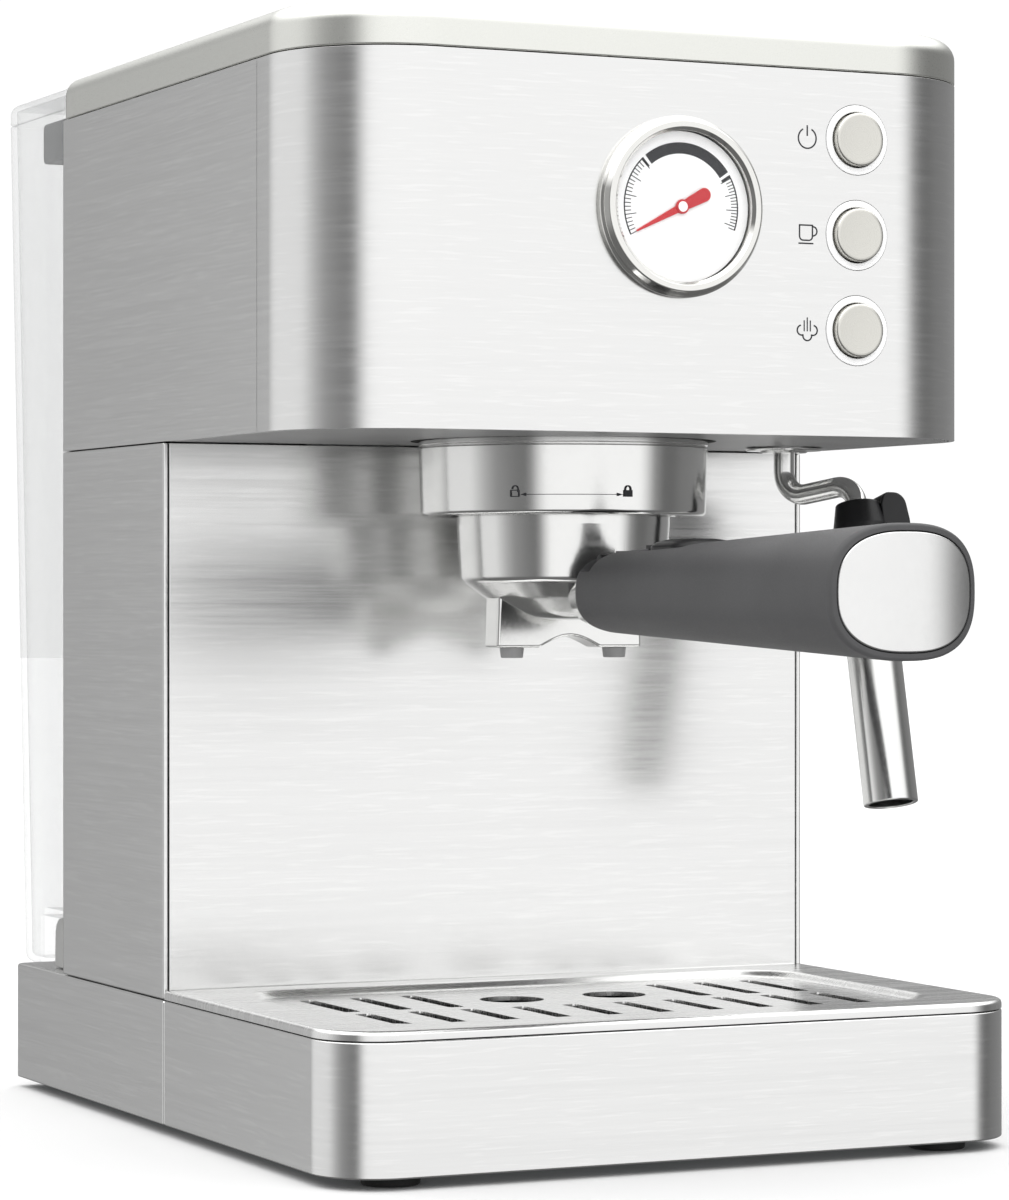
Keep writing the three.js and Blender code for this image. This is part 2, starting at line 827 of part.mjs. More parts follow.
function buildHandle() {
  const startY = groupY - handleStart;
  const padY = [groupY - padStart - padLength, groupY - padStart];
  const clearance = slideGap;
  const grip = cut(
    solid(handleSolid(0, [0, handleLength], 3)),
    solid(handleSolid(endCapRim, [handleLength - endCapDepth, handleLength + 1], 1)),
    solid(
      facingFront(
        rod(neckRadius + gap, [-startY - 1, -startY + neckDepth + gap], [0, 0], 20),
        [0, handleZ],
      ),
    ),
    box(
      [-width, width],
      [clipY - clipBarrel - 2, clipY + clipBarrel + 1.5],
      [clipZ - clipBarrel - 0.4, clipZ + 20],
    ),
    box([-6 - clearance, 6 + clearance], [padY[1] - 1, clipY], [clipZ, clipZ + 20]),
    box(
      [-padWidth / 2 - clearance, padWidth / 2 + clearance],
      [padY[0] - clearance, padY[1] + clearance],
      [padZ - clearance, padZ + 20],
    ),
  );
  addPart("handle_grip", grip, darkGrey);

  const cap = handleSolid(endCapRim + gap, [handleLength - endCapDepth + gap, handleLength], 1);
  addPart("handle_end_cap", solid(cap), steel);

  const pad = slabAlongX(
    polygon([
      [padY[1], padZ],
      [padY[1], padZ + 1.6],
      [padY[1] - 7, padZ + 4],
      [padY[0] + 7, padZ + 4.4],
      [padY[0], padZ + 2],
      [padY[0], padZ],
    ]),
    [-padWidth / 2, padWidth / 2],
  );
  const clip = join(
    solid(facingRight(rod(clipBarrel, [-11, 11], [0, 0], 16), [clipY, clipZ])),
    box([-6, 6], [padY[1] - 0.5, clipY], [clipZ + gap + 0.5, clipZ + 3]),
    box([-6, 6], [padY[1] - 0.5, padY[1] + 3], [clipZ + gap + 0.5, padZ + 1.6]),
    solid(pad),
  );
  addPart("basket_clip", clip, black);
}

// ---- Steam wand and its knob ----

const elbowAt = new THREE.Vector3(wandX + elbow[0], -wandReach + elbow[1], headBottom - elbowDrop);
const tipAt = new THREE.Vector3(
  elbowAt.x + wandLean[0],
  elbowAt.y + wandLean[1],
  headBottom - wandTip - 2.4,
);
const wandLine = elbowAt.clone().sub(tipAt);
const wandTurn = new THREE.Quaternion().setFromUnitVectors(
  new THREE.Vector3(0, 0, 1),
  wandLine.clone().normalize(),
);

// Lays a shape made about Z, with heights measured from the wand's open end, on the lower run.
function onWand(geometry) {
  return solid(geometry.applyQuaternion(wandTurn).translate(tipAt.x, tipAt.y, tipAt.z));
}

function buildWand() {
  const nut = turned(
    [
      [wandRadius + gap, headBottom - gap - nutHeight],
      [nutRadius - 2, headBottom - gap - nutHeight],
      [nutRadius, headBottom - gap - nutHeight + 1],
      [nutRadius, headBottom - gap],
      [nutRadius - 3, headBottom - gap],
      [nutRadius - 3, headBottom + 7],
      [wandRadius + gap, headBottom + 7],
    ],
    [wandX, -wandReach],
    20,
  );
  addPart("wand_nut", solid(nut), polished);

  const sleeveEnd = 14; // inner pipe ends this far inside the sleeve
  const pipeEnd = tipAt.clone().addScaledVector(wandLine.clone().normalize(), sleeveEnd);
  const pipe = tube(
    [
      [wandX, -wandReach, steamValve.z[0] + 8],
      [wandX, -wandReach, elbowAt.z - 3],
      elbowAt.toArray(),
      pipeEnd.toArray(),
    ],
    wandRadius,
    7,
    26,
    8,
  );
  addPart("wand_tube", solid(pipe), polished);

  const lineLength = wandLine.length();
  const top = lineLength - (gripTop - elbowDrop);
  const bottom = top - gripLength;
  const spigot = sleeveRadius - sleeveWall - gap;
  const pipeHole = wandRadius + 0.5;
  const bodyProfile = [
    [pipeHole, bottom - 16],
    [spigot, bottom - 16],
    [spigot, bottom],
    [gripRadius - 1, bottom],
    [gripRadius, bottom + 3],
    [gripRadius - 0.6, top - 6],
    [gripRadius - 4, top],
    [pipeHole + 1.5, top],
    [pipeHole + 1.5, top - 8],
    [pipeHole, top - 8],
  ];
  const tab = slab(rectangle([gripRadius - 5, gripRadius + 5], [-4, 4], 2), [bottom + 4, top - 5], 1);
  addPart("wand_grip", join(onWand(turned(bodyProfile, [0, 0], 24)), onWand(tab)), black);

  const sleeve = ring(sleeveRadius - sleeveWall, sleeveRadius, [0, bottom - gap], [0, 0], 32);
  addPart("froth_sleeve", onWand(sleeve), polished);
}

function buildSteamKnob() {
  const axis = [-wandReach, knobZ];
  const knobStart = half + 1;
  const knobEnd = knobStart + knobDepth;
  const knob = turned(
    [
      [0, knobStart + 8],
      [stemRadius + gap, knobStart + 8],
      [stemRadius + gap, knobStart],
      [knobRadius, knobStart],
      [knobRadius - 1, knobEnd - 2],
      [knobRadius - 3, knobEnd],
      [0, knobEnd],
    ],
    [0, 0],
    24,
  );
  const pointer = box(
    [knobEnd - 1, knobEnd + 0.8],
    [-wandReach - 1, -wandReach + 1],
    [knobZ + 4, knobZ + knobRadius - 4],
  );
  addPart("steam_knob", join(solid(facingRight(knob, axis)), pointer), black);

  const stem = facingRight(rod(stemRadius, [wandX + 4, knobStart + 8 - gap], [0, 0], 14), axis);
  addPart("valve_stem", solid(stem), brass);
}

// ---- Gauge and buttons ----

function buildGauge() {
  const at = [gaugeShift, gaugeZ];
  const dialFront = headReach + 0.6;
  const glassBack = dialFront + 1.9;
  const glassFront = glassBack + 0.8;
  const bezel = turned(
    [
      [glassRadius + gap, headReach + gap],
      [bezelRadius, headReach + gap],
      [bezelRadius - 0.4, headReach + 1.6],
      [bezelRadius - 2.4, headReach + bezelProud],
      [glassRadius + 0.3, headReach + bezelProud],
      [glassRadius - 0.4, glassFront + gap + 0.4],
      [glassRadius - 0.4, glassFront + gap],
      [glassRadius + gap, glassFront + gap],
    ],
    [0, 0],
    28,
  );
  addPart("gauge_bezel", solid(facingFront(bezel, at)), polished);

  const glass = rod(glassRadius, [glassBack, glassFront], [0, 0], 28);
  addPart("gauge_glass", solid(facingFront(glass, at)), clear);

  const dial = ring(1.5, glassRadius, [dialFront - 1, dialFront], [0, 0], 28);
  addPart("gauge_dial", solid(facingFront(dial, at)), white);

  const caseRadius = glassRadius + 1.6;
  const back = headReach - gaugeDepth;
  const housing = turned(
    [
      [0, back],
      [caseRadius, back],
      [caseRadius, headReach - gap],
      [glassRadius + 0.6, headReach - gap],
      [glassRadius + 0.6, back + 2],
      [0, back + 2],
    ],
    [0, 0],
  );
  addPart("gauge_case", solid(facingFront(housing, at)), galvanised);

  const bladeDepth = [dialFront + 0.6, dialFront + 1.4];
  const blade = polygon([
    [-0.6, needleLength],
    [-1.2, 0],
    [-1.9, -needleTail],
    [1.9, -needleTail],
    [1.2, 0],
    [0.6, needleLength],
  ]);
  const needle = join(
    solid(slab(blade, bladeDepth)),
    solid(rod(1.9, [dialFront + 0.6, dialFront + 1.6], [0, 0], 12)),
    solid(rod(1, [back + 3, dialFront + 0.7], [0, 0], 10)),
  );
  const turn = new THREE.Matrix4().makeRotationZ(rad(needleRest));
  addPart("gauge_needle", placeFront(needle, at, turn), red);
}

// The placement of facingFront for a solid that is already joined, after a first turn about Z.
function placeFront(body, [x, z], turn) {
  const placing = new THREE.Matrix4().makeTranslation(x, 0, z);
  placing.multiply(new THREE.Matrix4().makeRotationX(Math.PI / 2));
  return body.transform(turn.elements).transform(placing.elements);
}

function buildButtons() {
  for (const { use, z } of buttons) {
    const cap = turned(
      [
        [0, headReach - buttonDepth],
        [2.5, headReach - buttonDepth],
        [2.5, headReach - 3],
        [buttonRadius, headReach - 3],
        [buttonRadius, headReach + buttonProud - 0.4],
        [buttonRadius - 0.4, headReach + buttonProud],
        [0, headReach + buttonProud],
      ],
      [0, 0],
      20,
    );
    addPart(`${use}_button`, solid(facingFront(cap, [buttonX, z])), steel);

    const light = ring(buttonRadius + gap, ringRadius, [headReach - 4, headReach + 0.3], [0, 0], 20);
    addPart(`${use}_light_ring`, solid(facingFront(light, [buttonX, z])), white);
  }
}

// ---- Drip tray ----

const trayX = [-half, half];
const trayY = [-baseReach, -gap];
const trayFloorZ = plateZ[1] + slideGap;
const grateZ = [baseHeight + gap, baseHeight + gap + grateThickness];

function buildTray() {
  const wall = skirtWall;
  const inner = half - wall;
  const wellY = [-baseReach + wall, -gap - wall];
  const floorTop = trayFloorZ + trayFloor;
  const shell = cut(
    solid(slab(rectangle(trayX, trayY, baseCorner, 0), [0, baseHeight])),
    solid(slab(rectangle([-inner, inner], wellY, baseCorner - wall, 0.5), [floorTop, baseHeight + 1])),
    solid(slab(rectangle([-inner, inner], [wellY[0], 1], baseCorner - wall, 0), [-1, trayFloorZ])),
  );
  addPart("tray_shell", shell, steel);

  const out = inner - slideGap;
  const binY = [wellY[0] + slideGap, wellY[1] - slideGap];
  const binCorner = baseCorner - wall - slideGap;
  const binZ = [floorTop + gap, floorTop + gap + binHeight];
  const cup = out - binWall;
  const bin = cut(
    solid(slab(rectangle([-out, out], binY, binCorner, 2), binZ)),
    solid(
      slab(
        rectangle([-cup, cup], [binY[0] + binWall, binY[1] - binWall], binCorner - binWall, 1),
        [binZ[0] + binWall, binZ[1] + 1],
      ),
    ),
  );
  addPart("tray_bin", bin, black);
}

// The shallow recess in the top of the grate: its rim is one outline, its floor a smaller one.
function recess(inset, [z0, z1]) {
  const x = half - grateBorder - inset;
  const y = [trayY[0] + grateBorder + inset, trayY[1] - grateBorder * 0.7 - inset];
  const steep = slab(rectangle([-x, x], y, baseCorner - inset / 2), [z0, z1], 2);
  const middleY = (y[0] + y[1]) / 2;
  const halfY = (y[1] - y[0]) / 2;
  return reshape(steep, (point) => {
    if (point.z > z0 + 0.01) return;
    point.x *= (x - recessSlope) / x;
    point.y = middleY + ((point.y - middleY) * (halfY - recessSlope)) / halfY;
  });
}

function slot(x, yFront) {
  const depth = [grateZ[0] - grateThickness, grateZ[1] + 1];
  return box([x - slotWidth / 2, x + slotWidth / 2], [yFront, yFront + slotLength], depth);
}

function buildGrate() {
  const plate = slab(rectangle(trayX, trayY, baseCorner, 0), grateZ);
  const floorZ = grateZ[1] - 1.9;
  const backing = recess(-grateSheet, [floorZ - grateSheet, grateZ[1] - grateSheet]);
  const cutters = [];
  const frontRow = -baseReach + frontRowInset;
  for (let i = 0; i < frontSlots; i++) {
    cutters.push(slot((i - (frontSlots - 1) / 2) * slotPitch, frontRow));
  }
  const rearRow = frontRow + slotLength + slotRowGap;
  for (let i = 0; i < sideSlots; i++) {
    const x = ((frontSlots - 1) / 2 - i) * slotPitch;
    cutters.push(slot(x, rearRow), slot(-x, rearRow));
  }
  for (const sign of [-1, 1]) {
    const at = [(sign * spoutSpacing) / 2, groupY];
    cutters.push(solid(rod(drainRadius, [grateZ[0] - grateThickness, grateZ[1] + 1], at, 20)));
  }
  const grate = cut(
    join(solid(plate), solid(backing)),
    solid(recess(0, [floorZ, grateZ[1] + 0.01])),
    ...cutters,
  );
  addPart("drip_grate", grate, steel);
}

// ---- Water tank ----

const tankTop = machineTop - tankTopDrop;
const tankRim = tankTop - tankLidHeight;
const tankBottom = baseHeight + slideGap;
const dockTop = baseHeight + gap + dockHeight;

// The tank's outline between two levels, drawn in by inset. Its rear face leans out towards the
// top.
function tankShape(inset, [z0, z1]) {
  const x = tankWidth / 2 - inset;
  const outline = rectangle([-x, x], [0, tankTopDepth], 0, Math.max(tankCorner - inset, 1));
  const depthAt = (z) =>
    THREE.MathUtils.mapLinear(z, tankBottom, tankRim, tankBottomDepth, tankTopDepth) - 2 * inset;
  return reshape(slab(outline, [z0, z1], 2), (point) => {
    point.y = tankFront + inset + (point.y * depthAt(point.z)) / tankTopDepth;
  });
}

function buildTank() {
  const notchY = tankFront + dockDepth + 1.5;
  const notchZ = dockTop + slideGap;
  const wall = tankWall;
  const body = cut(
    solid(tankShape(0, [tankBottom, tankRim])),
    box([-half, half], [0, notchY], [0, notchZ]),
    cut(
      solid(tankShape(wall, [tankBottom + wall, tankRim + 1])),
      box([-half, half], [0, notchY + wall], [0, notchZ + wall]),
    ),
    solid(rod(valveRadius + gap, [notchZ - 1, notchZ + wall + 1], [0, dockY], 16)),
  );
  addPart("tank_body", body, clear);

  const barX = tankWidth / 2 - wall - gap;
  const barY = [tankFront + wall + gap, tankFront + wall + gap + tankGripDepth];
  const barZ = [tankRim - 2 - tankGripHeight, tankRim - 2];
  const bar = slabAlongX(rectangle(barY, barZ, 2), [-barX, barX], 1);
  addPart("tank_handle", solid(bar), black);

  const lidX = tankWidth / 2;
  const lidY = [tankFront, tankFront + tankTopDepth];
  const lidZ = [tankRim + gap, tankTop];
  const lid = reshape(slab(rectangle([-lidX, lidX], lidY, 0, tankCorner), lidZ, 2), (point) => {
    const top = point.z > lidZ[1] - gap;
    if (top) point.y = Math.min(point.y, lidY[1] - tankCorner / 2);
  });
  addPart("tank_lid", solid(lid), clear);

  const seatZ = notchZ + wall + gap;
  const valve = turned(
    [
      [0, notchZ - 5],
      [valveRadius - 1, notchZ - 5],
      [valveRadius - 1, seatZ],
      [valveRadius + 3, seatZ],
      [valveRadius + 3, seatZ + 3],
      [0, seatZ + 6],
    ],
    [0, dockY],
    16,
  );
  addPart("tank_valve", solid(valve), dockGrey);

  const radius = 5;
  const dockOutline = new THREE.Shape();
  const back = tankFront + dockDepth;
  dockOutline.moveTo(tankFront, baseHeight + gap);
  dockOutline.lineTo(back, baseHeight + gap);
  dockOutline.lineTo(back - 1, dockTop - radius);
  dockOutline.quadraticCurveTo(back - 1.4, dockTop, back - 1.4 - radius, dockTop);
  dockOutline.lineTo(tankFront, dockTop);
  dockOutline.closePath();
  const dock = cut(
    solid(slabAlongX(dockOutline, [-dockWidth / 2, dockWidth / 2])),
    solid(rod(valveRadius + 1, [dockTop - 9, dockTop + 1], [0, dockY], 20)),
    solid(rod(3.5 + gap, [baseHeight, dockTop - 8], [0, dockY], 16)),
  );
  addPart("tank_dock", dock, dockGrey);
}

// ---- Assembly ----

buildBase();
buildColumn();
buildHead();
buildTopLid();
buildFrame();
buildBoiler();
buildPump();
buildSteamValve();
buildBoards();
buildGroup();
buildPortafilter();
buildHandle();
buildWand();
buildSteamKnob();
buildGauge();
buildButtons();
buildTray();
buildGrate();
buildTank();

// The origin goes to the centre of the footprint, on the surface under the feet.
const bounds = new THREE.Box3().setFromObject(machine);
const centre = bounds.getCenter(new THREE.Vector3());
machine.position.set(-centre.x, -centre.y, -bounds.min.z);

export default espressoMachine;
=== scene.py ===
import math

import bmesh
import bpy
from bpy.props import FloatProperty, FloatVectorProperty, IntProperty, PointerProperty
from mathutils import Matrix, Vector


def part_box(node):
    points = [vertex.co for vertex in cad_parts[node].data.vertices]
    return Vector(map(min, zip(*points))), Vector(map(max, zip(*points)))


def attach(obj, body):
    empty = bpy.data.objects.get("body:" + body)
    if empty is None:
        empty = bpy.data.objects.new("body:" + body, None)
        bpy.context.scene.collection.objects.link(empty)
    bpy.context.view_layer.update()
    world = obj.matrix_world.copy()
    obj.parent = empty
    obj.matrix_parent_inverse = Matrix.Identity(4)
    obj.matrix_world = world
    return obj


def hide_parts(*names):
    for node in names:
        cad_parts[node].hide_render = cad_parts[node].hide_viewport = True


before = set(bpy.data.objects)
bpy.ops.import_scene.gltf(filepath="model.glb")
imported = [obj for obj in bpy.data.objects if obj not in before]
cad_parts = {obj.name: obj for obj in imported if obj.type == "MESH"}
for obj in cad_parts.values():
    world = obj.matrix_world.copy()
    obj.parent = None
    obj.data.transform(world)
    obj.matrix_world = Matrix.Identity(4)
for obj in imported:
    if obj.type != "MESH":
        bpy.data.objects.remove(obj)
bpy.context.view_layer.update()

bl_info = {
    "name": "Espresso Machine",
    "version": (1, 0, 0),
    "blender": (4, 5, 0),
    "location": "View3D > Sidebar > Espresso",
    "description": "Builds the visible pieces of a pump espresso machine around its CAD frame",
    "category": "Add Mesh",
}

# Shapes are drawn in millimetres about the machine's own zero: the middle plane, the column's
# front face and the underside of the base. It is read from the frame, as every level below is.
casing_low, casing_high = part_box("column_casing")
MACHINE_ZERO = Vector(
    ((casing_low.x + casing_high.x) / 2, casing_low.y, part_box("rear_base_shell")[0].z)
)

# These lay a shape that is drawn along Z with Z towards the front, or towards the right.
FRONT_TURN = Matrix(((1, 0, 0, 0), (0, 0, -1, 0), (0, 1, 0, 0), (0, 0, 0, 1)))
RIGHT_TURN = Matrix(((0, 0, 1, 0), (1, 0, 0, 0), (0, 1, 0, 0), (0, 0, 0, 1)))

BUTTONS = ("power", "brew", "steam")


def spot(node):
    """Lowest and highest corner of a CAD node, in millimetres about the machine's zero."""
    low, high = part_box(node)
    return (low - MACHINE_ZERO) * 1000, (high - MACHINE_ZERO) * 1000


def middle(node):
    low, high = spot(node)
    return (low + high) / 2


def radius_of(node):
    """Half a node's width, in millimetres."""
    low, high = spot(node)
    return (high.x - low.x) / 2


# ---- Sizes and colours that a user would change ----


def size(label, description, millimetres):
    return FloatProperty(
        name=label, description=description, default=millimetres / 1000, unit="LENGTH", precision=5
    )


def colour(label, description, value):
    return FloatVectorProperty(
        name=label, description=description, default=value, size=3, subtype="COLOR", min=0, max=1
    )


def mm(value):
    return value * 1000


class CasingSettings(bpy.types.PropertyGroup):
    """Sizes and colours of the steel casings and the lid."""

    sheet: size("Sheet", "Thickness of the casing's steel", 1.5)
    edge: size("Edge", "Rounding of the sheet's edges", 0.45)
    head_corner: size("Head corner", "Radius of the head's front corners", 34)
    tray_corner: size("Tray corner", "Radius of the tray's front corners", 18)
    rear_corner: size("Rear corner", "Radius of the rear corners", 3)
    lid_edge: size("Lid edge", "Rounding of the lid's top edge", 5.5)
    steel: colour("Steel", "Colour of the brushed steel", (0.80, 0.80, 0.795))
    lid: colour("Lid", "Colour of the satin lid", (0.80, 0.805, 0.765))


class TraySettings(bpy.types.PropertyGroup):
    """Sizes of the drip tray and the pattern pressed into its grate."""

    wall: size("Wall", "Thickness of the tray's skirt", 2)
    border: size("Border", "Width of the flat border round the recess", 15)
    recess: size("Recess", "Depth of the recess", 1.9)
    slope: size("Slope", "Width of the recess's sloping wall", 4)
    slot_width: size("Slot width", "Width of one slot", 4.6)
    slot_length: size("Slot length", "Length of one slot", 35)
    slot_pitch: size("Slot pitch", "From one slot to the next", 15.5)
    row_gap: size("Row gap", "Between the two rows of slots", 6)
    front_inset: size("Front inset", "From the tray's front to the first row", 26)
    front_slots: IntProperty(name="Front slots", description="Slots in the front row", default=10)
    side_slots: IntProperty(
        name="Side slots", description="Slots on each side of the drain holes", default=3
    )
    drain: size("Drain hole", "Diameter of each drain hole", 18)


class GaugeSettings(bpy.types.PropertyGroup):
    """The gauge's scale."""

    scale_radius: size("Scale radius", "Outer radius of the printed scale", 17.2)
    tick: size("Tick", "Length of a short tick", 2.1)
    ticks: IntProperty(name="Ticks", description="Ticks on the right arc", default=17)
    left_ticks: IntProperty(name="Left ticks", description="Ticks on the left arc", default=21)
    ink: colour("Ink", "Colour of the printed scale", (0.035, 0.036, 0.04))
    needle: colour("Needle", "Colour of the needle", (0.50, 0.012, 0.02))


class KnobSettings(bpy.types.PropertyGroup):
    """Grip ribs of the steam knob."""

    ribs: IntProperty(name="Ribs", description="Ribs round the knob", default=30)
    rib: size("Rib", "Width of one rib", 1.5)


class HandleSettings(bpy.types.PropertyGroup):
    """The portafilter's handle."""

    near_width: size("Near width", "Width at the bowl", 34)
    near_height: size("Near height", "Height at the bowl", 22)
    far_width: size("Far width", "Width at the end", 41)
    far_height: size("Far height", "Height at the end", 33.4)
    squareness: FloatProperty(
        name="Squareness", description="2 is an oval, more is squarer", default=2.6, min=1
    )
    bend: size("Bend", "How far the end face falls back at its sides", 2.4)
    grip: colour("Grip", "Colour of the soft grip", (0.068, 0.068, 0.07))


class StudioSettings(bpy.types.PropertyGroup):
    """Camera and light."""

    lens: FloatProperty(name="Lens", description="Focal length in mm", default=122.45, min=1)
    shift: FloatProperty(name="Shift", description="Vertical shift of the lens", default=-0.00303)
    floor: colour("Floor", "Colour of the floor", (0.74, 0.74, 0.74))
    overhead: FloatProperty(name="Overhead", description="Strength of the top light", default=2.1)
    around: FloatProperty(name="Around", description="Strength of the light around", default=1.16)
    below: FloatProperty(name="Below", description="Strength of the light from below", default=0.16)


# Materials by name; main() fills it before the first piece is made.
finishes = {}


# ---- Making shapes ----


class Shape:
    """Vertices and faces of one body, in millimetres."""

    def __init__(self, points, faces):
        self.points = [Vector(point) for point in points]
        self.faces = [tuple(face) for face in faces]

    def moved(self, matrix):
        return Shape([matrix @ point for point in self.points], self.faces)

    def to(self, x=0, y=0, z=0):
        return self.moved(Matrix.Translation((x, y, z)))

    def beside(self, other):
        """Both bodies as one shape, for bodies that don't touch."""
        start = len(self.points)
        faces = [tuple(i + start for i in face) for face in other.faces]
        return Shape(self.points + other.points, self.faces + faces)


def filleted(corners, steps=8, closed=True):
    """The line through corners (u, v, radius), with an arc in place of each sharp turn."""
    line = []
    last = len(corners) - 1
    for i, (u, v, radius) in enumerate(corners):
        here = Vector((u, v))
        if radius <= 0 or (not closed and i in (0, last)):
            line.append(here)
            continue
        back = Vector(corners[i - 1][:2]) - here
        ahead = Vector(corners[(i + 1) % len(corners)][:2]) - here
        half = back.angle(ahead) / 2
        room = [0.499 * back.length, 0.499 * ahead.length]
        if not closed and i == 1:
            room[0] *= 2
        if not closed and i == last - 1:
            room[1] *= 2
        reach = min(radius / math.tan(half), *room)
        back.normalize()
        ahead.normalize()
        centre = here + (back + ahead).normalized() * (reach / math.cos(half))
        first = here + back * reach - centre
        final = here + ahead * reach - centre
        turn = math.atan2(first.x * final.y - first.y * final.x, first.dot(final))
        for step in range(steps + 1):
            angle = turn * step / steps
            cos, sin = math.cos(angle), math.sin(angle)
            arm = Vector((first.x * cos - first.y * sin, first.x * sin + first.y * cos))
            line.append(centre + arm)
    return line


def outline(x, y, front=0.0, rear=0.0, steps=8):
    """An anticlockwise rectangle in plan; front is the radius of its two corners at low y."""
    return filleted(
        [(x[0], y[0], front), (x[1], y[0], front), (x[1], y[1], rear), (x[0], y[1], rear)], steps
    )


def drawn_in(line, distance):
    """A closed anticlockwise line moved inwards by distance."""
    result = []
    for i, here in enumerate(line):
        before = (here - line[i - 1]).normalized()
        after = (line[(i + 1) % len(line)] - here).normalized()
        left = Vector((-before.y, before.x)) + Vector((-after.y, after.x))
        share = 1 + before.dot(after)
        result.append(here + left * (distance / max(share, 0.2)))
    return result


def level(line, z):
    return [Vector((point.x, point.y, z)) for point in line]


def quarter(steps):
    """Pairs (1 - cosine, 1 - sine) round a quarter turn, for rounding an edge."""
    turns = [math.pi / 2 * i / steps for i in range(steps + 1)]
    return [(1 - math.cos(turn), 1 - math.sin(turn)) for turn in turns]


def heading(line, i):
    """The direction of an open line at its point i."""
    return (line[min(i + 1, len(line) - 1)] - line[max(i - 1, 0)]).normalized()


def edges_of(line, width):
    """The two edges of a ribbon of even width along an open line in plan."""
    left, right = [], []
    for i, here in enumerate(line):
        along = heading(line, i)
        side = Vector((-along.y, along.x)) * width / 2
        left.append(here + side)
        right.append(here - side)
    return left, right


def stacked(rings, capped=True):
    """A skin through rings of equally many points, capped at both ends or joined end to end."""
    count = len(rings[0])
    faces = []
    for i in range(len(rings) - 1 if capped else len(rings)):
        low, high = i * count, (i + 1) % len(rings) * count
        for j in range(count):
            k = (j + 1) % count
            faces.append((low + j, low + k, high + k, high + j))
    if capped:
        faces.append(tuple(reversed(range(count))))
        faces.append(tuple(range((len(rings) - 1) * count, len(rings) * count)))
    return Shape([point for ring in rings for point in ring], faces)


def prism(line, z):
    return stacked([level(line, z[0]), level(line, z[1])])


def box(x, y, z):
    return prism(outline(x, y), z)


def domed_rings(line, z, low_edge, high_edge, steps=5):
    """Rings of a slab whose lower and upper edges are rounded by their own radius."""
    rings = []
    for rise, inset in quarter(steps):
        rings.append(level(drawn_in(line, low_edge * inset), z[0] + low_edge * rise))
    for inset, drop in quarter(steps):
        rings.append(level(drawn_in(line, high_edge * inset), z[1] - high_edge * drop))
    return rings


def slab(line, z, edge=0.5, steps=4):
    return stacked(domed_rings(line, z, edge, edge, steps))


def cover(line, z, wall, low_edge, high_edge, steps=5):
    """A shell that is closed above and open below."""
    inner = drawn_in(line, wall)
    inside = [level(inner, z[1] - wall), level(inner, z[0])]
    return stacked(inside + domed_rings(line, z, low_edge, high_edge, steps))


def turned(profile, segments=96):
    """A solid turned about Z from points (radius, height), its ends on the axis or joined up."""
    rings = []
    for radius, height in profile:
        ring = []
        for i in range(segments):
            angle = 2 * math.pi * i / segments
            ring.append(Vector((radius * math.cos(angle), radius * math.sin(angle), height)))
        rings.append(ring)
    on_axis = profile[0][0] < 1e-6 and profile[-1][0] < 1e-6
    shape = stacked(rings, capped=on_axis)
    if on_axis:
        shape.faces = shape.faces[:-2]
    return shape


def rod(radius, z, segments=48):
    return turned([(0, z[0]), (radius, z[0]), (radius, z[1]), (0, z[1])], segments)


def turned_soft(corners, segments=96, steps=5):
    """A turned solid whose profile corners (radius, height, rounding) are rounded."""
    on_axis = corners[0][0] == 0
    return turned(filleted(corners, steps, closed=not on_axis), segments)


def swept(route, section):
    """A section of (across, up) points carried along a route of points."""
    lean = Vector((0.31, 0.17, 0.93))  # never in line with the route, so no section can twist
    rings = []
    for i, here in enumerate(route):
        along = heading(route, i)
        side = along.cross(lean).normalized()
        up = side.cross(along)
        rings.append([here + side * u + up * v for u, v in section])
    return stacked(rings)


def circle(radius, segments):
    turns = [math.tau * i / segments for i in range(segments)]
    return [Vector((radius * math.cos(turn), radius * math.sin(turn))) for turn in turns]


def working_object(shape):
    mesh = bpy.data.meshes.new("work")
    mesh.from_pydata(shape.points, [], shape.faces)
    tidy(mesh, 1e-4)
    piece = bpy.data.objects.new("work", mesh)
    bpy.context.scene.collection.objects.link(piece)
    return piece


def tidy(mesh, distance):
    """Merges what meets in one point and turns every face outwards."""
    work = bmesh.new()
    work.from_mesh(mesh)
    bmesh.ops.remove_doubles(work, verts=work.verts, dist=distance)
    bmesh.ops.dissolve_degenerate(work, edges=work.edges, dist=distance)
    bmesh.ops.recalc_face_normals(work, faces=work.faces)
    work.to_mesh(mesh)
    work.free()


def taken_back(piece):
    """The evaluated object's mesh as a shape; the object is removed."""
    graph = bpy.context.evaluated_depsgraph_get()
    mesh = bpy.data.meshes.new_from_object(piece.evaluated_get(graph), depsgraph=graph)
    shape = Shape([v.co for v in mesh.vertices], [tuple(f.vertices) for f in mesh.polygons])
    bpy.data.meshes.remove(mesh)
    removed(piece)
    return shape


def removed(piece):
    mesh = piece.data
    bpy.data.objects.remove(piece)
    bpy.data.meshes.remove(mesh)


def combined(operation, first, *others):
    target = working_object(first)
    tools = [working_object(other) for other in others]
    for tool in tools:
        step = target.modifiers.new("combine", "BOOLEAN")
        step.operation = operation
        step.solver = "MANIFOLD"
        step.object = tool
    shape = taken_back(target)
    for tool in tools:
        removed(tool)
    return shape


def cut(first, *others):
    return combined("DIFFERENCE", first, *others)


def joined(first, *others):
    return combined("UNION", first, *others)


def softened(shape, width, segments=2, angle=35):
    """Rounds every edge that turns by more than angle, in degrees."""
    piece = working_object(shape)
    step = piece.modifiers.new("edges", "BEVEL")
    step.width = width
    step.segments = segments
    step.limit_method = "ANGLE"
    step.angle_limit = math.radians(angle)
    return taken_back(piece)


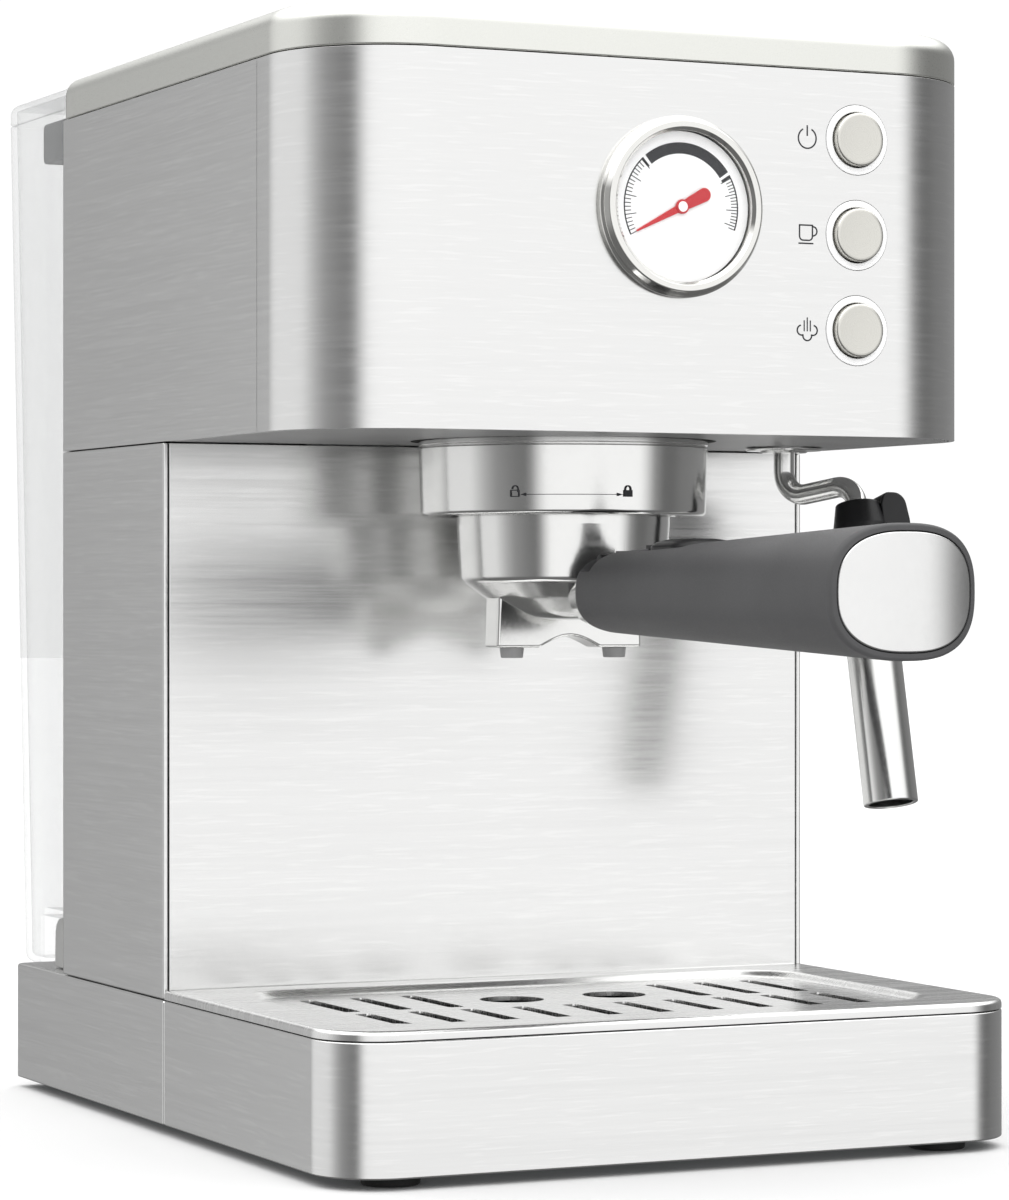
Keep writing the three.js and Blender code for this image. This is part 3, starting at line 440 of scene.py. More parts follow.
def bent_sheet(corners, thickness, z, steps=24):
    """A sheet bent along an open line in plan, which runs anticlockwise along its outer face."""
    outer = filleted(corners, steps, closed=False)
    inner = []
    for i, here in enumerate(outer):
        along = heading(outer, i)
        inner.append(here + Vector((-along.y, along.x)) * thickness)
    return prism(outer + inner[::-1], z)


def finished(name, shape, finish, body, *replaced, slot=None, sharp=40):
    """Turns a shape into a piece of the model, in metres in the shared frame.

    The finish is named after its slot in the record. The slot argument is not used.
    """
    mesh = bpy.data.meshes.new(name)
    mesh.from_pydata([MACHINE_ZERO + point / 1000 for point in shape.points], [], shape.faces)
    tidy(mesh, 1e-7)
    mesh.materials.append(finishes[finish])
    mesh.shade_smooth()
    mesh.set_sharp_from_angle(angle=math.radians(sharp))
    piece = bpy.data.objects.new(name, mesh)
    bpy.context.scene.collection.objects.link(piece)
    weighted = piece.modifiers.new("Weighted normals", "WEIGHTED_NORMAL")
    weighted.keep_sharp = True
    weighted.weight = 60
    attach(piece, body)
    if replaced:
        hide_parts(*replaced)
    return piece


# ---- Geometry Nodes for what repeats ----


class NodeMaker:
    """Adds nodes to a node tree."""

    def __init__(self, tree):
        self.nodes = tree.nodes
        self.links = tree.links

    def add(self, kind, values=(), output=0, **settings):
        """A new node's output. A value that is a socket is linked, any other is set."""
        node = self.nodes.new(kind)
        for key, value in settings.items():
            setattr(node, key, value)
        for where, value in dict(values).items():
            self.feed(node.inputs[where], value)
        return node.outputs[output]

    def feed(self, socket, value):
        if isinstance(value, bpy.types.NodeSocket):
            self.links.new(value, socket)
        else:
            socket.default_value = value


class Tree(NodeMaker):
    """A Geometry Nodes group with named inputs; it ends in Realize Instances and Set Material."""

    KINDS = {int: "NodeSocketInt", float: "NodeSocketFloat", tuple: "NodeSocketVector"}

    def __init__(self, name, inputs):
        self.group = bpy.data.node_groups.new(name, "GeometryNodeTree")
        super().__init__(self.group)
        face = self.group.interface
        face.new_socket("Geometry", in_out="INPUT", socket_type="NodeSocketGeometry")
        for label, default in inputs.items():
            socket = face.new_socket(label, in_out="INPUT", socket_type=self.KINDS[type(default)])
            socket.default_value = default
        face.new_socket("Material", in_out="INPUT", socket_type="NodeSocketMaterial")
        face.new_socket("Geometry", in_out="OUTPUT", socket_type="NodeSocketGeometry")
        self.entry = self.nodes.new("NodeGroupInput")

    def given(self, label):
        return self.entry.outputs[label]

    def math(self, operation, a, b=0.0):
        return self.add("ShaderNodeMath", {0: a, 1: b}, operation=operation)

    def end(self, geometry):
        whole = self.add("GeometryNodeRealizeInstances", {"Geometry": geometry})
        painted = self.add(
            "GeometryNodeSetMaterial", {"Geometry": whole, "Material": self.given("Material")}
        )
        self.links.new(painted, self.nodes.new("NodeGroupOutput").inputs["Geometry"])
        return self.group


def ring_tree():
    """Copies of the given shape round the Z axis; every nth copy is stretched outwards."""
    tree = Tree(
        "Copies round an axis",
        {
            "Count": 12,
            "Start": 0.0,
            "Sweep": 360.0,
            "Radius": 10.0,
            "Long every": 0,
            "Stretch": 1.0,
        },
    )
    line = tree.add("GeometryNodeMeshLine", {"Count": tree.given("Count")})
    place = tree.add("GeometryNodeInputIndex")
    spans = tree.math("MAXIMUM", tree.math("SUBTRACT", tree.given("Count"), 1.0), 1.0)
    step = tree.math("DIVIDE", tree.given("Sweep"), spans)
    degrees = tree.math("ADD", tree.given("Start"), tree.math("MULTIPLY", place, step))
    angle = tree.math("RADIANS", degrees)
    where = tree.add(
        "ShaderNodeCombineXYZ",
        {
            "X": tree.math("MULTIPLY", tree.given("Radius"), tree.math("COSINE", angle)),
            "Y": tree.math("MULTIPLY", tree.given("Radius"), tree.math("SINE", angle)),
        },
    )
    spread = tree.add("GeometryNodeSetPosition", {"Geometry": line, "Position": where})
    phase = tree.math("MODULO", place, tree.math("MAXIMUM", tree.given("Long every"), 1.0))
    is_long = tree.math(
        "MULTIPLY",
        tree.math("LESS_THAN", phase, 0.5),
        tree.math("GREATER_THAN", tree.given("Long every"), 0.5),
    )
    extra = tree.math("SUBTRACT", tree.given("Stretch"), 1.0)
    stretch = tree.math("ADD", 1.0, tree.math("MULTIPLY", is_long, extra))
    copies = tree.add(
        "GeometryNodeInstanceOnPoints",
        {
            "Points": spread,
            "Instance": tree.given("Geometry"),
            "Rotation": tree.add("ShaderNodeCombineXYZ", {"Z": angle}),
            "Scale": tree.add("ShaderNodeCombineXYZ", {"X": stretch, "Y": 1.0, "Z": 1.0}),
        },
    )
    return tree.end(copies)


def row_tree():
    """Copies of the given shape in rows and columns."""
    tree = Tree("Copies in rows", {"Columns": 2, "Rows": 2, "Across": 10.0, "Along": 10.0})
    span_x = tree.math(
        "MULTIPLY", tree.given("Across"), tree.math("SUBTRACT", tree.given("Columns"), 1.0)
    )
    span_y = tree.math(
        "MULTIPLY", tree.given("Along"), tree.math("SUBTRACT", tree.given("Rows"), 1.0)
    )
    grid = tree.add(
        "GeometryNodeMeshGrid",
        {
            "Size X": span_x,
            "Size Y": span_y,
            "Vertices X": tree.given("Columns"),
            "Vertices Y": tree.given("Rows"),
        },
    )
    copies = tree.add(
        "GeometryNodeInstanceOnPoints", {"Points": grid, "Instance": tree.given("Geometry")}
    )
    return tree.end(copies)


def punch_tree():
    """Punches a row of holes with rounded ends through the given sheet, along Z."""
    tree = Tree(
        "Punched row",
        {
            "Count": 10,
            "Pitch": 15.0,
            "Width": 4.0,
            "Length": 30.0,
            "Corner": 1.0,
            "Centre": (0.0, 0.0, 0.0),
            "Depth": 20.0,
        },
    )
    rectangle = tree.add(
        "GeometryNodeCurvePrimitiveQuadrilateral",
        {"Width": tree.given("Width"), "Height": tree.given("Length")},
    )
    rounded = tree.add(
        "GeometryNodeFilletCurve",
        {"Curve": rectangle, "Radius": tree.given("Corner"), "Count": 8},
        mode="POLY",
    )
    below = tree.add(
        "ShaderNodeCombineXYZ", {"Z": tree.math("MULTIPLY", tree.given("Depth"), -0.5)}
    )
    above = tree.add(
        "ShaderNodeCombineXYZ", {"Z": tree.math("MULTIPLY", tree.given("Depth"), 0.5)}
    )
    stroke = tree.add("GeometryNodeCurvePrimitiveLine", {"Start": below, "End": above})
    punch = tree.add(
        "GeometryNodeCurveToMesh", {"Curve": stroke, "Profile Curve": rounded, "Fill Caps": True}
    )
    gaps = tree.math("SUBTRACT", tree.given("Count"), 1.0)
    span = tree.math("MULTIPLY", tree.given("Pitch"), gaps)
    first = tree.add(
        "ShaderNodeVectorMath",
        {
            0: tree.given("Centre"),
            1: tree.add("ShaderNodeCombineXYZ", {"X": tree.math("MULTIPLY", span, -0.5)}),
        },
        operation="ADD",
    )
    row = tree.add(
        "GeometryNodeMeshLine",
        {
            "Count": tree.given("Count"),
            "Start Location": first,
            "Offset": tree.add("ShaderNodeCombineXYZ", {"X": tree.given("Pitch")}),
        },
    )
    punches = tree.add("GeometryNodeInstanceOnPoints", {"Points": row, "Instance": punch})
    whole = tree.add("GeometryNodeRealizeInstances", {"Geometry": punches})
    holes = tree.add(
        "GeometryNodeMeshBoolean",
        {"Mesh 1": tree.given("Geometry"), "Mesh 2": whole},
        operation="DIFFERENCE",
        solver="MANIFOLD",
    )
    return tree.end(holes)


def grown(shape, tree, finish, rows):
    """The shape after the tree has run on it once for each set of inputs."""
    piece = working_object(shape)
    for inputs in rows:
        step = piece.modifiers.new(tree.name, "NODES")
        step.node_group = tree
        sockets = {
            item.name: item.identifier
            for item in tree.interface.items_tree
            if item.item_type == "SOCKET" and item.in_out == "INPUT"
        }
        for label, value in inputs.items():
            step[sockets[label]] = value
        step[sockets["Material"]] = finishes[finish]
    return taken_back(piece)


# ---- Finishes ----


class Finish(NodeMaker):
    """A node material with one Principled shader, built step by step."""

    def __init__(self, name):
        self.material = bpy.data.materials.new(name)
        self.material.use_nodes = True
        super().__init__(self.material.node_tree)
        self.shader = self.nodes["Principled BSDF"]
        self.place = self.add("ShaderNodeTexCoord", output="Object")

    def noise(self, scale, detail=3.0, roughness=0.55, stretch=None):
        where = self.place
        if stretch:
            where = self.add("ShaderNodeMapping", {"Vector": where, "Scale": stretch})
        return self.add(
            "ShaderNodeTexNoise",
            {"Vector": where, "Scale": scale, "Detail": detail, "Roughness": roughness},
        )

    def blend(self, share, first, second):
        """first where share is 0, second where it is 1."""
        return self.add(
            "ShaderNodeMix",
            {0: share, 6: (*first, 1), 7: (*second, 1)},
            output=2,
            data_type="RGBA",
        )

    def span(self, value, low, high, start=0.3, end=0.7):
        """low where value is start or less, high where it is end or more."""
        return self.add("ShaderNodeMapRange", {0: value, 1: start, 2: end, 3: low, 4: high})

    def mottle(self, pattern, first, second):
        """Varies the base colour between two near tones."""
        self.set(Base_Color=self.blend(self.span(pattern, 0.0, 1.0), first, second))

    def bumped(self, height, strength, distance):
        normal = self.add(
            "ShaderNodeBump", {"Height": height, "Strength": strength, "Distance": distance}
        )
        self.links.new(normal, self.shader.inputs["Normal"])

    def set(self, **values):
        for key, value in values.items():
            self.feed(self.shader.inputs[key.replace("_", " ")], value)


def shade(tint, factor):
    return tuple(min(1.0, channel * factor) for channel in tint)


def brushed(name, tint, streaks, rough=(0.2, 0.26)):
    """Steel brushed along the axes where streaks is small; streaks are per metre."""
    finish = Finish(name)
    fine = finish.noise(1.0, 3.0, 0.6, streaks)
    # Flecks are shorter and wider than the fine streaks, and broad bands are four times as wide.
    shorter, wider, finest = 2.2, 0.42, max(streaks)
    fleck = tuple(wider * s if s == finest else shorter * s for s in streaks)
    short = finish.noise(1.0, 2.0, 0.5, fleck)
    broad = finish.noise(1.0, 1.0, 0.5, tuple(0.25 * s for s in streaks))
    flecks = finish.span(short, 0.0, 1.0, 0.56, 0.70)
    grain = finish.add("ShaderNodeMath", {0: fine, 1: flecks}, operation="ADD")
    share = finish.span(grain, 0.0, 1.0, 0.35, 1.3)
    finish.set(Base_Color=finish.blend(share, shade(tint, 0.985), shade(tint, 1.03)), Metallic=1.0)
    mixed = finish.add("ShaderNodeMath", {0: fine, 1: broad}, operation="MULTIPLY")
    finish.set(Roughness=finish.span(mixed, rough[0], rough[1], 0.12, 0.40))
    finish.bumped(fine, 0.012, 0.00004)
    return finish.material


def polished(name, tint, rough=(0.13, 0.17)):
    """Polished metal with faint wiping marks."""
    finish = Finish(name)
    wipe = finish.noise(60.0, 4.0, 0.6)
    haze = finish.noise(900.0, 2.0)
    finish.mottle(wipe, shade(tint, 0.965), tint)
    finish.set(Metallic=1.0, Roughness=finish.span(haze, rough[0], rough[1]))
    finish.bumped(wipe, 0.01, 0.0001)
    return finish.material


def satin_lid(name, tint):
    """A sprayed satin metal: an even pearl with a fine orange peel."""
    finish = Finish(name)
    pearl = finish.noise(4200.0, 2.0)
    peel = finish.noise(420.0, 2.0)
    finish.mottle(pearl, shade(tint, 0.95), shade(tint, 1.04))
    finish.set(Metallic=1.0, Roughness=finish.span(pearl, 0.27, 0.34))
    finish.bumped(peel, 0.05, 0.0001)
    return finish.material


def moulded(name, tint, rough=(0.42, 0.55), grain=2600.0, depth=0.12, specular=0.5):
    """Moulded plastic with a fine spark-eroded grain and a faint cloudiness."""
    finish = Finish(name)
    pores = finish.noise(grain, 3.0)
    cloud = finish.noise(45.0, 2.0)
    finish.mottle(cloud, shade(tint, 0.92), shade(tint, 1.08))
    finish.set(Roughness=finish.span(pores, rough[0], rough[1]), Specular_IOR_Level=specular)
    finish.bumped(pores, depth, 0.00012)
    return finish.material


def cast(name, tint):
    """Rough cast or galvanised metal."""
    finish = Finish(name)
    skin = finish.noise(700.0, 5.0)
    cloud = finish.noise(60.0, 3.0)
    finish.mottle(cloud, shade(tint, 0.82), tint)
    finish.set(Metallic=0.9, Roughness=finish.span(skin, 0.42, 0.6))
    finish.bumped(skin, 0.25, 0.0003)
    return finish.material


def spun(name, tint, centre):
    """Metal with fine turning rings about the line along Y through centre, in metres."""
    finish = Finish(name)
    centred = finish.add(
        "ShaderNodeVectorMath", {0: finish.place, 1: tuple(centre)}, operation="SUBTRACT"
    )
    flat = finish.add(
        "ShaderNodeVectorMath",
        {0: centred, 1: (1.0, 0.0, 1.0)},
        operation="MULTIPLY",
    )
    radius = finish.add("ShaderNodeVectorMath", {0: flat}, output=1, operation="LENGTH")
    rings = finish.add(
        "ShaderNodeTexNoise",
        {"W": radius, "Scale": 5200.0, "Detail": 2.0},
        noise_dimensions="1D",
    )
    finish.mottle(rings, shade(tint, 0.93), shade(tint, 1.05))
    finish.set(Metallic=1.0, Roughness=finish.span(rings, 0.26, 0.36))
    finish.bumped(rings, 0.12, 0.00005)
    return finish.material


def clear_plastic(name, tint, body, edge, rough=0.12):
    """Thin clear plastic with a faint streaked haze, which thickens from body to edge."""
    finish = Finish(name)
    haze = finish.noise(1.0, 3.0, 0.5, (34.0, 34.0, 3.0))
    finish.mottle(haze, shade(tint, 0.95), tint)
    finish.set(Roughness=rough, Specular_IOR_Level=0.5)
    glancing = finish.add("ShaderNodeLayerWeight", {"Blend": 0.2}, output="Facing")
    amount = finish.span(glancing, body, edge, 0.0, 1.0)
    streaked = finish.add(
        "ShaderNodeMath",
        {0: amount, 1: finish.span(haze, 0.8, 1.2)},
        operation="MULTIPLY",
        use_clamp=True,
    )
    finish.set(Alpha=streaked)
    return finish.material


def make_finishes(scene):
    casing = scene.espresso_casing
    gauge = scene.espresso_gauge
    handle = scene.espresso_handle
    steel = tuple(casing.steel)
    return {
        "brushed_steel": brushed("Brushed steel", steel, (34.0, 34.0, 2600.0)),
        "brushed_flat": brushed("Brushed steel, flat", steel, (34.0, 2600.0, 34.0), (0.2, 0.3)),
        "satin_cap": polished("Satin end cap", steel, (0.18, 0.22)),
        "polished_steel": polished("Polished steel", (0.80, 0.80, 0.79)),
        "bezel": polished("Polished bezel", (0.80, 0.795, 0.77), (0.08, 0.14)),
        "lid_satin": satin_lid("Satin lid", tuple(casing.lid)),
        "inner_steel": cast("Galvanised steel", (0.52, 0.54, 0.55)),
        "cast_aluminium": cast("Cast aluminium", (0.60, 0.61, 0.62)),
        "brass": cast("Brass", (0.60, 0.43, 0.17)),
        "handle_plastic": moulded("Soft grip", tuple(handle.grip), (0.46, 0.58), 3000.0, 0.1, 0.35),
        "black_plastic": moulded("Black plastic", (0.012, 0.012, 0.013), (0.3, 0.42), specular=0.3),
        "underside": moulded("Underside plastic", (0.20, 0.20, 0.20), (0.3, 0.4)),
        "grey_plastic": moulded("Grey plastic", (0.30, 0.30, 0.295), (0.4, 0.55)),
        "spout_plastic": moulded("Spout plastic", (0.26, 0.26, 0.26), (0.3, 0.45)),
        "white_plastic": moulded("White light ring", (0.93, 0.93, 0.93), (0.3, 0.4), 1800.0, 0.03),
        "white_dial": moulded("Dial card", (0.94, 0.94, 0.94), (0.5, 0.6), 2400.0, 0.02, 0.2),
        "ink": moulded("Printed ink", tuple(gauge.ink), (0.5, 0.6), 2400.0, 0.02, 0.2),
        "red_needle": moulded("Red paint", tuple(gauge.needle), (0.3, 0.4), 1800.0, 0.03),
        "rubber": moulded("Rubber", (0.022, 0.022, 0.022), (0.65, 0.8), 1500.0, 0.2, 0.3),
        "hose": moulded("Hose", (0.6, 0.59, 0.56), (0.35, 0.5), 1200.0, 0.1),
        "circuit_board": moulded("Circuit board", (0.015, 0.13, 0.05), (0.3, 0.45), 900.0, 0.3),
        "clear_plastic": clear_plastic("Clear plastic", (0.55, 0.56, 0.56), 0.07, 0.5),
        "gauge_glass": clear_plastic("Gauge glass", (1.0, 1.0, 1.0), 0.01, 0.06, 0.03),
    }


# ---- Base, column and head ----


class BuildBase(bpy.types.Operator):
    """Builds the rear base shell, the base plate with its screws, the feet and the inlet gland."""

    bl_idname = "espresso.base"
    bl_label = "Base and feet"

    def execute(self, context):
        casing = context.scene.espresso_casing
        low, high = spot("rear_base_shell")
        wall = mm(context.scene.espresso_tray.wall)
        rear = mm(casing.rear_corner)
        line = outline((low.x, high.x), (low.y, high.y), 0.6, rear, 10)
        valve = middle("tank_valve")
        gland = middle("cord_gland")
        plate_low, plate_high = spot("base_plate")
        plate_slit = box((low.x + wall, high.x - wall), (-2, wall + 1), (-1, plate_high.z + 0.6))
        shell = cut(
            cover(line, (low.z, high.z), wall, 0.5, 0.9),
            plate_slit,
            rod(6, (high.z - 5, high.z + 1)).to(valve.x, valve.y),
            rod(6.3, (-4, 9)).moved(FRONT_TURN).to(gland.x, high.y, gland.z),
        )
        finished("base_shell", shell, "brushed_steel", "machine", "rear_base_shell")

        corner = mm(casing.tray_corner) - wall
        plate = outline((plate_low.x, plate_high.x), (plate_low.y, plate_high.y), corner, 1, 10)
        finished(
            "base_sheet",
            slab(plate, (plate_low.z, plate_high.z), 0.4),
            "inner_steel",
            "machine",
            "base_plate",
        )
        head = [(0, -1.1, 0), (1.5, -1.5, 0.4), (3, -1.3, 0.6), (3.4, 0, 0.1), (0, 0, 0)]
        screw = cut(
            turned_soft(head, 32, 4),
            box((-2, 2), (-0.35, 0.35), (-3, -0.7)),
            box((-0.35, 0.35), (-2, 2), (-3, -0.7)),
        )
        inset = 34  # of the outer screws from the plate's edges
        grid = {
            "Columns": 2,
            "Rows": 3,
            "Across": plate_high.x - plate_low.x - 2 * inset,
            "Along": (plate_high.y - plate_low.y - 2 * inset) / 2,
        }
        screws = grown(screw, row_tree(), "polished_steel", [grid])
        screws = screws.to(0, (plate_low.y + plate_high.y) / 2, plate_low.z - 0.02)
        finished("base_screws", screws, "polished_steel", "machine")

        for end in ("front", "rear"):
            for side in ("left", "right"):
                node = f"foot_{end}_{side}"
                foot_low, foot_high = spot(node)
                radius = radius_of(node)
                profile = [
                    (0, foot_low.z + 0.6, 0),
                    (radius - 3.4, foot_low.z + 0.6, 0.3),
                    (radius - 2.6, foot_low.z, 0.4),
                    (radius - 0.3, foot_low.z, 0.7),
                    (radius, foot_high.z, 0.1),
                    (0, foot_high.z, 0),
                ]
                centre = middle(node)
                finished(
                    f"pad_{end}_{side}",
                    turned_soft(profile, 64).to(centre.x, centre.y),
                    "rubber",
                    "machine",
                    node,
                )
        reach = spot("cord_gland")[1].y - high.y
        profile = [
            (3.5, -wall - 1, 0),
            (6, -wall - 1, 0),
            (6, 0.3, 0),
            (8, 0.3, 0.5),
            (7.6, 1.8, 0.5),
            (6.7, 2.4, 0.4),
            (6.6, 3.6, 0.4),
            (7, 4.2, 0.4),
            (6.4, 5.2, 0.4),
            (6.2, 6.2, 0.4),
            (6.5, 6.8, 0.4),
            (5.2, reach, 0.8),
            (3.5, reach, 0.3),
        ]
        bushing = turned_soft(profile, 48).moved(Matrix.Rotation(-math.pi / 2, 4, "X"))
        finished(
            "inlet_gland", bushing.to(gland.x, high.y, gland.z), "rubber", "machine", "cord_gland"
        )
        return {"FINISHED"}


def rear_wrap(node, casing):
    """Sheet steel bent round a node's sides and back, open to the front."""
    low, high = spot(node)
    rear = mm(casing.rear_corner)
    route = [
        (high.x, low.y, 0),
        (high.x, high.y, rear),
        (low.x, high.y, rear),
        (low.x, low.y, 0),
    ]
    return bent_sheet(route, mm(casing.sheet), (low.z, high.z), 10)


class BuildColumn(bpy.types.Operator):
    """Builds the column's bent casing and the backsplash panel."""

    bl_idname = "espresso.column"
    bl_label = "Column"

    def execute(self, context):
        casing = context.scene.espresso_casing
        shell = softened(rear_wrap("column_casing", casing), mm(casing.edge), 3)
        finished("column_shell", shell, "brushed_steel", "machine", "column_casing")
        low, high = spot("backsplash_panel")
        panel = softened(box((low.x, high.x), (low.y, high.y), (low.z, high.z)), 0.25, 3)
        finished("backsplash", panel, "brushed_steel", "machine", "backsplash_panel")
        return {"FINISHED"}


class BuildHead(bpy.types.Operator):
    """Builds the head's front panel, side and rear casing, underside and the top lid."""

    bl_idname = "espresso.head"
    bl_label = "Head and lid"

    def execute(self, context):
        casing = context.scene.espresso_casing
        sheet = mm(casing.sheet)
        edge = mm(casing.edge)
        corner = mm(casing.head_corner)
        low, high = spot("head_front_panel")
        route = [
            (low.x, high.y, 0),
            (low.x, low.y, corner),
            (high.x, low.y, corner),
            (high.x, high.y, 0),
        ]
        panel = bent_sheet(route, sheet, (low.z, high.z), 32)
        room = {f"{use}_light_ring": 0.15 for use in BUTTONS}
        room["gauge_glass"] = 1.6
        holes = []
        for node, gap in room.items():
            centre = middle(node)
            hole = rod(radius_of(node) + gap, (-6, 6), 64).moved(FRONT_TURN)
            holes.append(hole.to(centre.x, low.y, centre.z))
        panel = softened(cut(panel, *holes), edge, 3)
        finished("head_panel", panel, "brushed_steel", "machine", "head_front_panel")

        side = spot("head_casing")[1].x
        stem = middle("valve_stem")
        hole = rod(3.6, (-6, 6)).moved(RIGHT_TURN).to(side, stem.y, stem.z)
        shell = softened(cut(rear_wrap("head_casing", casing), hole), edge, 3)
        finished("head_shell", shell, "brushed_steel", "machine", "head_casing")

        low, high = spot("head_underside")
        line = outline((low.x, high.x), (low.y, high.y), corner - sheet, 0, 24)
        collar = middle("group_collar")
        wand = middle("wand_nut")
        through = (low.z - 2, high.z + 2)
        floor = cut(
            prism(line, (low.z, high.z)),
            rod(43, through, 96).to(collar.x, collar.y),
            rod(9, through).to(wand.x, wand.y),
        )
        finished(
            "head_floor",
            softened(floor, 0.3),
            "underside",
            "machine",
            "head_underside",
            slot="handle_plastic",
        )

        low, high = spot("top_lid")
        rear = mm(casing.rear_corner) + 3
        line = outline((low.x, high.x), (low.y, high.y), corner, rear, 32)
        lid = cover(line, (low.z, high.z), 3.0, 0.5, mm(casing.lid_edge), 10)
        finished("lid_cover", lid, "lid_satin", "machine", "top_lid")
        return {"FINISHED"}


# ---- Drip tray ----


class BuildTray(bpy.types.Operator):
    """Builds the drip tray's shell, its bin and the pressed and punched grate."""

    bl_idname = "espresso.tray"
    bl_label = "Drip tray"

    def execute(self, context):
        casing = context.scene.espresso_casing
        tray = context.scene.espresso_tray
        corner = mm(casing.tray_corner)
        wall = mm(tray.wall)
        low, high = spot("tray_shell")
        plate_high = spot("base_plate")[1]
        line = outline((low.x, high.x), (low.y, high.y), corner, 0.8, 24)
        inner = drawn_in(line, wall)
        skirt = [level(inner, plate_high.z + 0.6), level(inner, low.z)]
        skirt += domed_rings(line, (low.z, high.z), 0.5, 0.6)
        skirt += [level(drawn_in(line, wall - 0.2), high.z), level(inner, high.z - 0.2)]
        skirt += [level(inner, plate_high.z + 2.2)]
        finished("tray_skirt", stacked(skirt), "brushed_steel", "drip_tray", "tray_shell")

        low, high = spot("tray_bin")
        line = outline((low.x, high.x), (low.y, high.y), corner - wall - 0.6, 2, 16)
        bin_wall = 1.6
        inner = drawn_in(line, bin_wall)
        bin_rings = domed_rings(line, (low.z, high.z), 1.2, 0.3)
        bin_rings += [level(inner, high.z - 0.2), level(inner, low.z + bin_wall)]
        finished("tray_basin", stacked(bin_rings), "black_plastic", "drip_tray", "tray_bin")
        self.build_grate(tray, corner)
        return {"FINISHED"}

    def build_grate(self, tray, corner):
        """One stamped cover: a rounded edge, a flat border, a sloping wall and a punched floor."""
        low, high = spot("drip_grate")
        edge_low = spot("tray_shell")[1].z + 0.3
        border = mm(tray.border)
        depth = mm(tray.recess)
        slope = mm(tray.slope)
        sheet = 1.2
        edge = 1.3
        outer = outline((low.x, high.x), (low.y, high.y), corner, 0.8, 16)
        x = (low.x + border, high.x - border)
        y = (low.y + border, high.y - border * 0.7)
        rim = outline(x, y, corner, corner, 16)
        centre = Vector(((x[0] + x[1]) / 2, (y[0] + y[1]) / 2))
        top = high.z

        def pressed(share, lift):
            """The recess's wall at a share of its width, from its rim down to its floor."""
            fall = depth * (0.5 - 0.5 * math.cos(math.pi * share))
            return level(drawn_in(rim, slope * share), top - fall - lift)

        steps = 8
        rings = [pressed(1.0, sheet)]
        rings += [pressed(1 - i / steps, sheet) for i in range(1, steps + 1)]
        inner = drawn_in(outer, sheet)
        rings += [level(inner, top - sheet), level(inner, edge_low), level(outer, edge_low)]
        for inset, drop in quarter(6):
            rings.append(level(drawn_in(outer, edge * inset), top - edge * drop))
        rings += [pressed(i / steps, 0) for i in range(steps + 1)]
        plate = stacked(rings)

        width = mm(tray.slot_width)
        length = mm(tray.slot_length)
        pitch = mm(tray.slot_pitch)
        front = low.y + mm(tray.front_inset) + length / 2
        rear = front + length + mm(tray.row_gap)
        side = ((tray.front_slots - 1) / 2 - (tray.side_slots - 1) / 2) * pitch
        drain = mm(tray.drain)
        deep = 20.0
        slot = {"Pitch": pitch, "Width": width, "Length": length, "Corner": 1.1, "Depth": deep}
        drains = {
            "Count": 2,
            "Pitch": 2 * abs(middle("spout_left").x - centre.x),
            "Width": drain,
            "Length": drain,
            "Corner": drain / 2 - 0.01,
            "Centre": (centre.x, middle("spout_left").y, top),
            "Depth": deep,
        }
        rows = [
            {**slot, "Count": tray.front_slots, "Centre": (centre.x, front, top)},
            {**slot, "Count": tray.side_slots, "Centre": (centre.x - side, rear, top)},
            {**slot, "Count": tray.side_slots, "Centre": (centre.x + side, rear, top)},
            drains,
        ]
        plate = grown(plate, punch_tree(), "brushed_flat", rows)
        plate = softened(plate, 0.18, 2, 60)
        finished("grate_plate", plate, "brushed_flat", "grate", "drip_grate", slot="brushed_steel")


# ---- Brew group and portafilter ----

LOCK_TURN = math.radians(45)  # between the portafilter's open and locked places


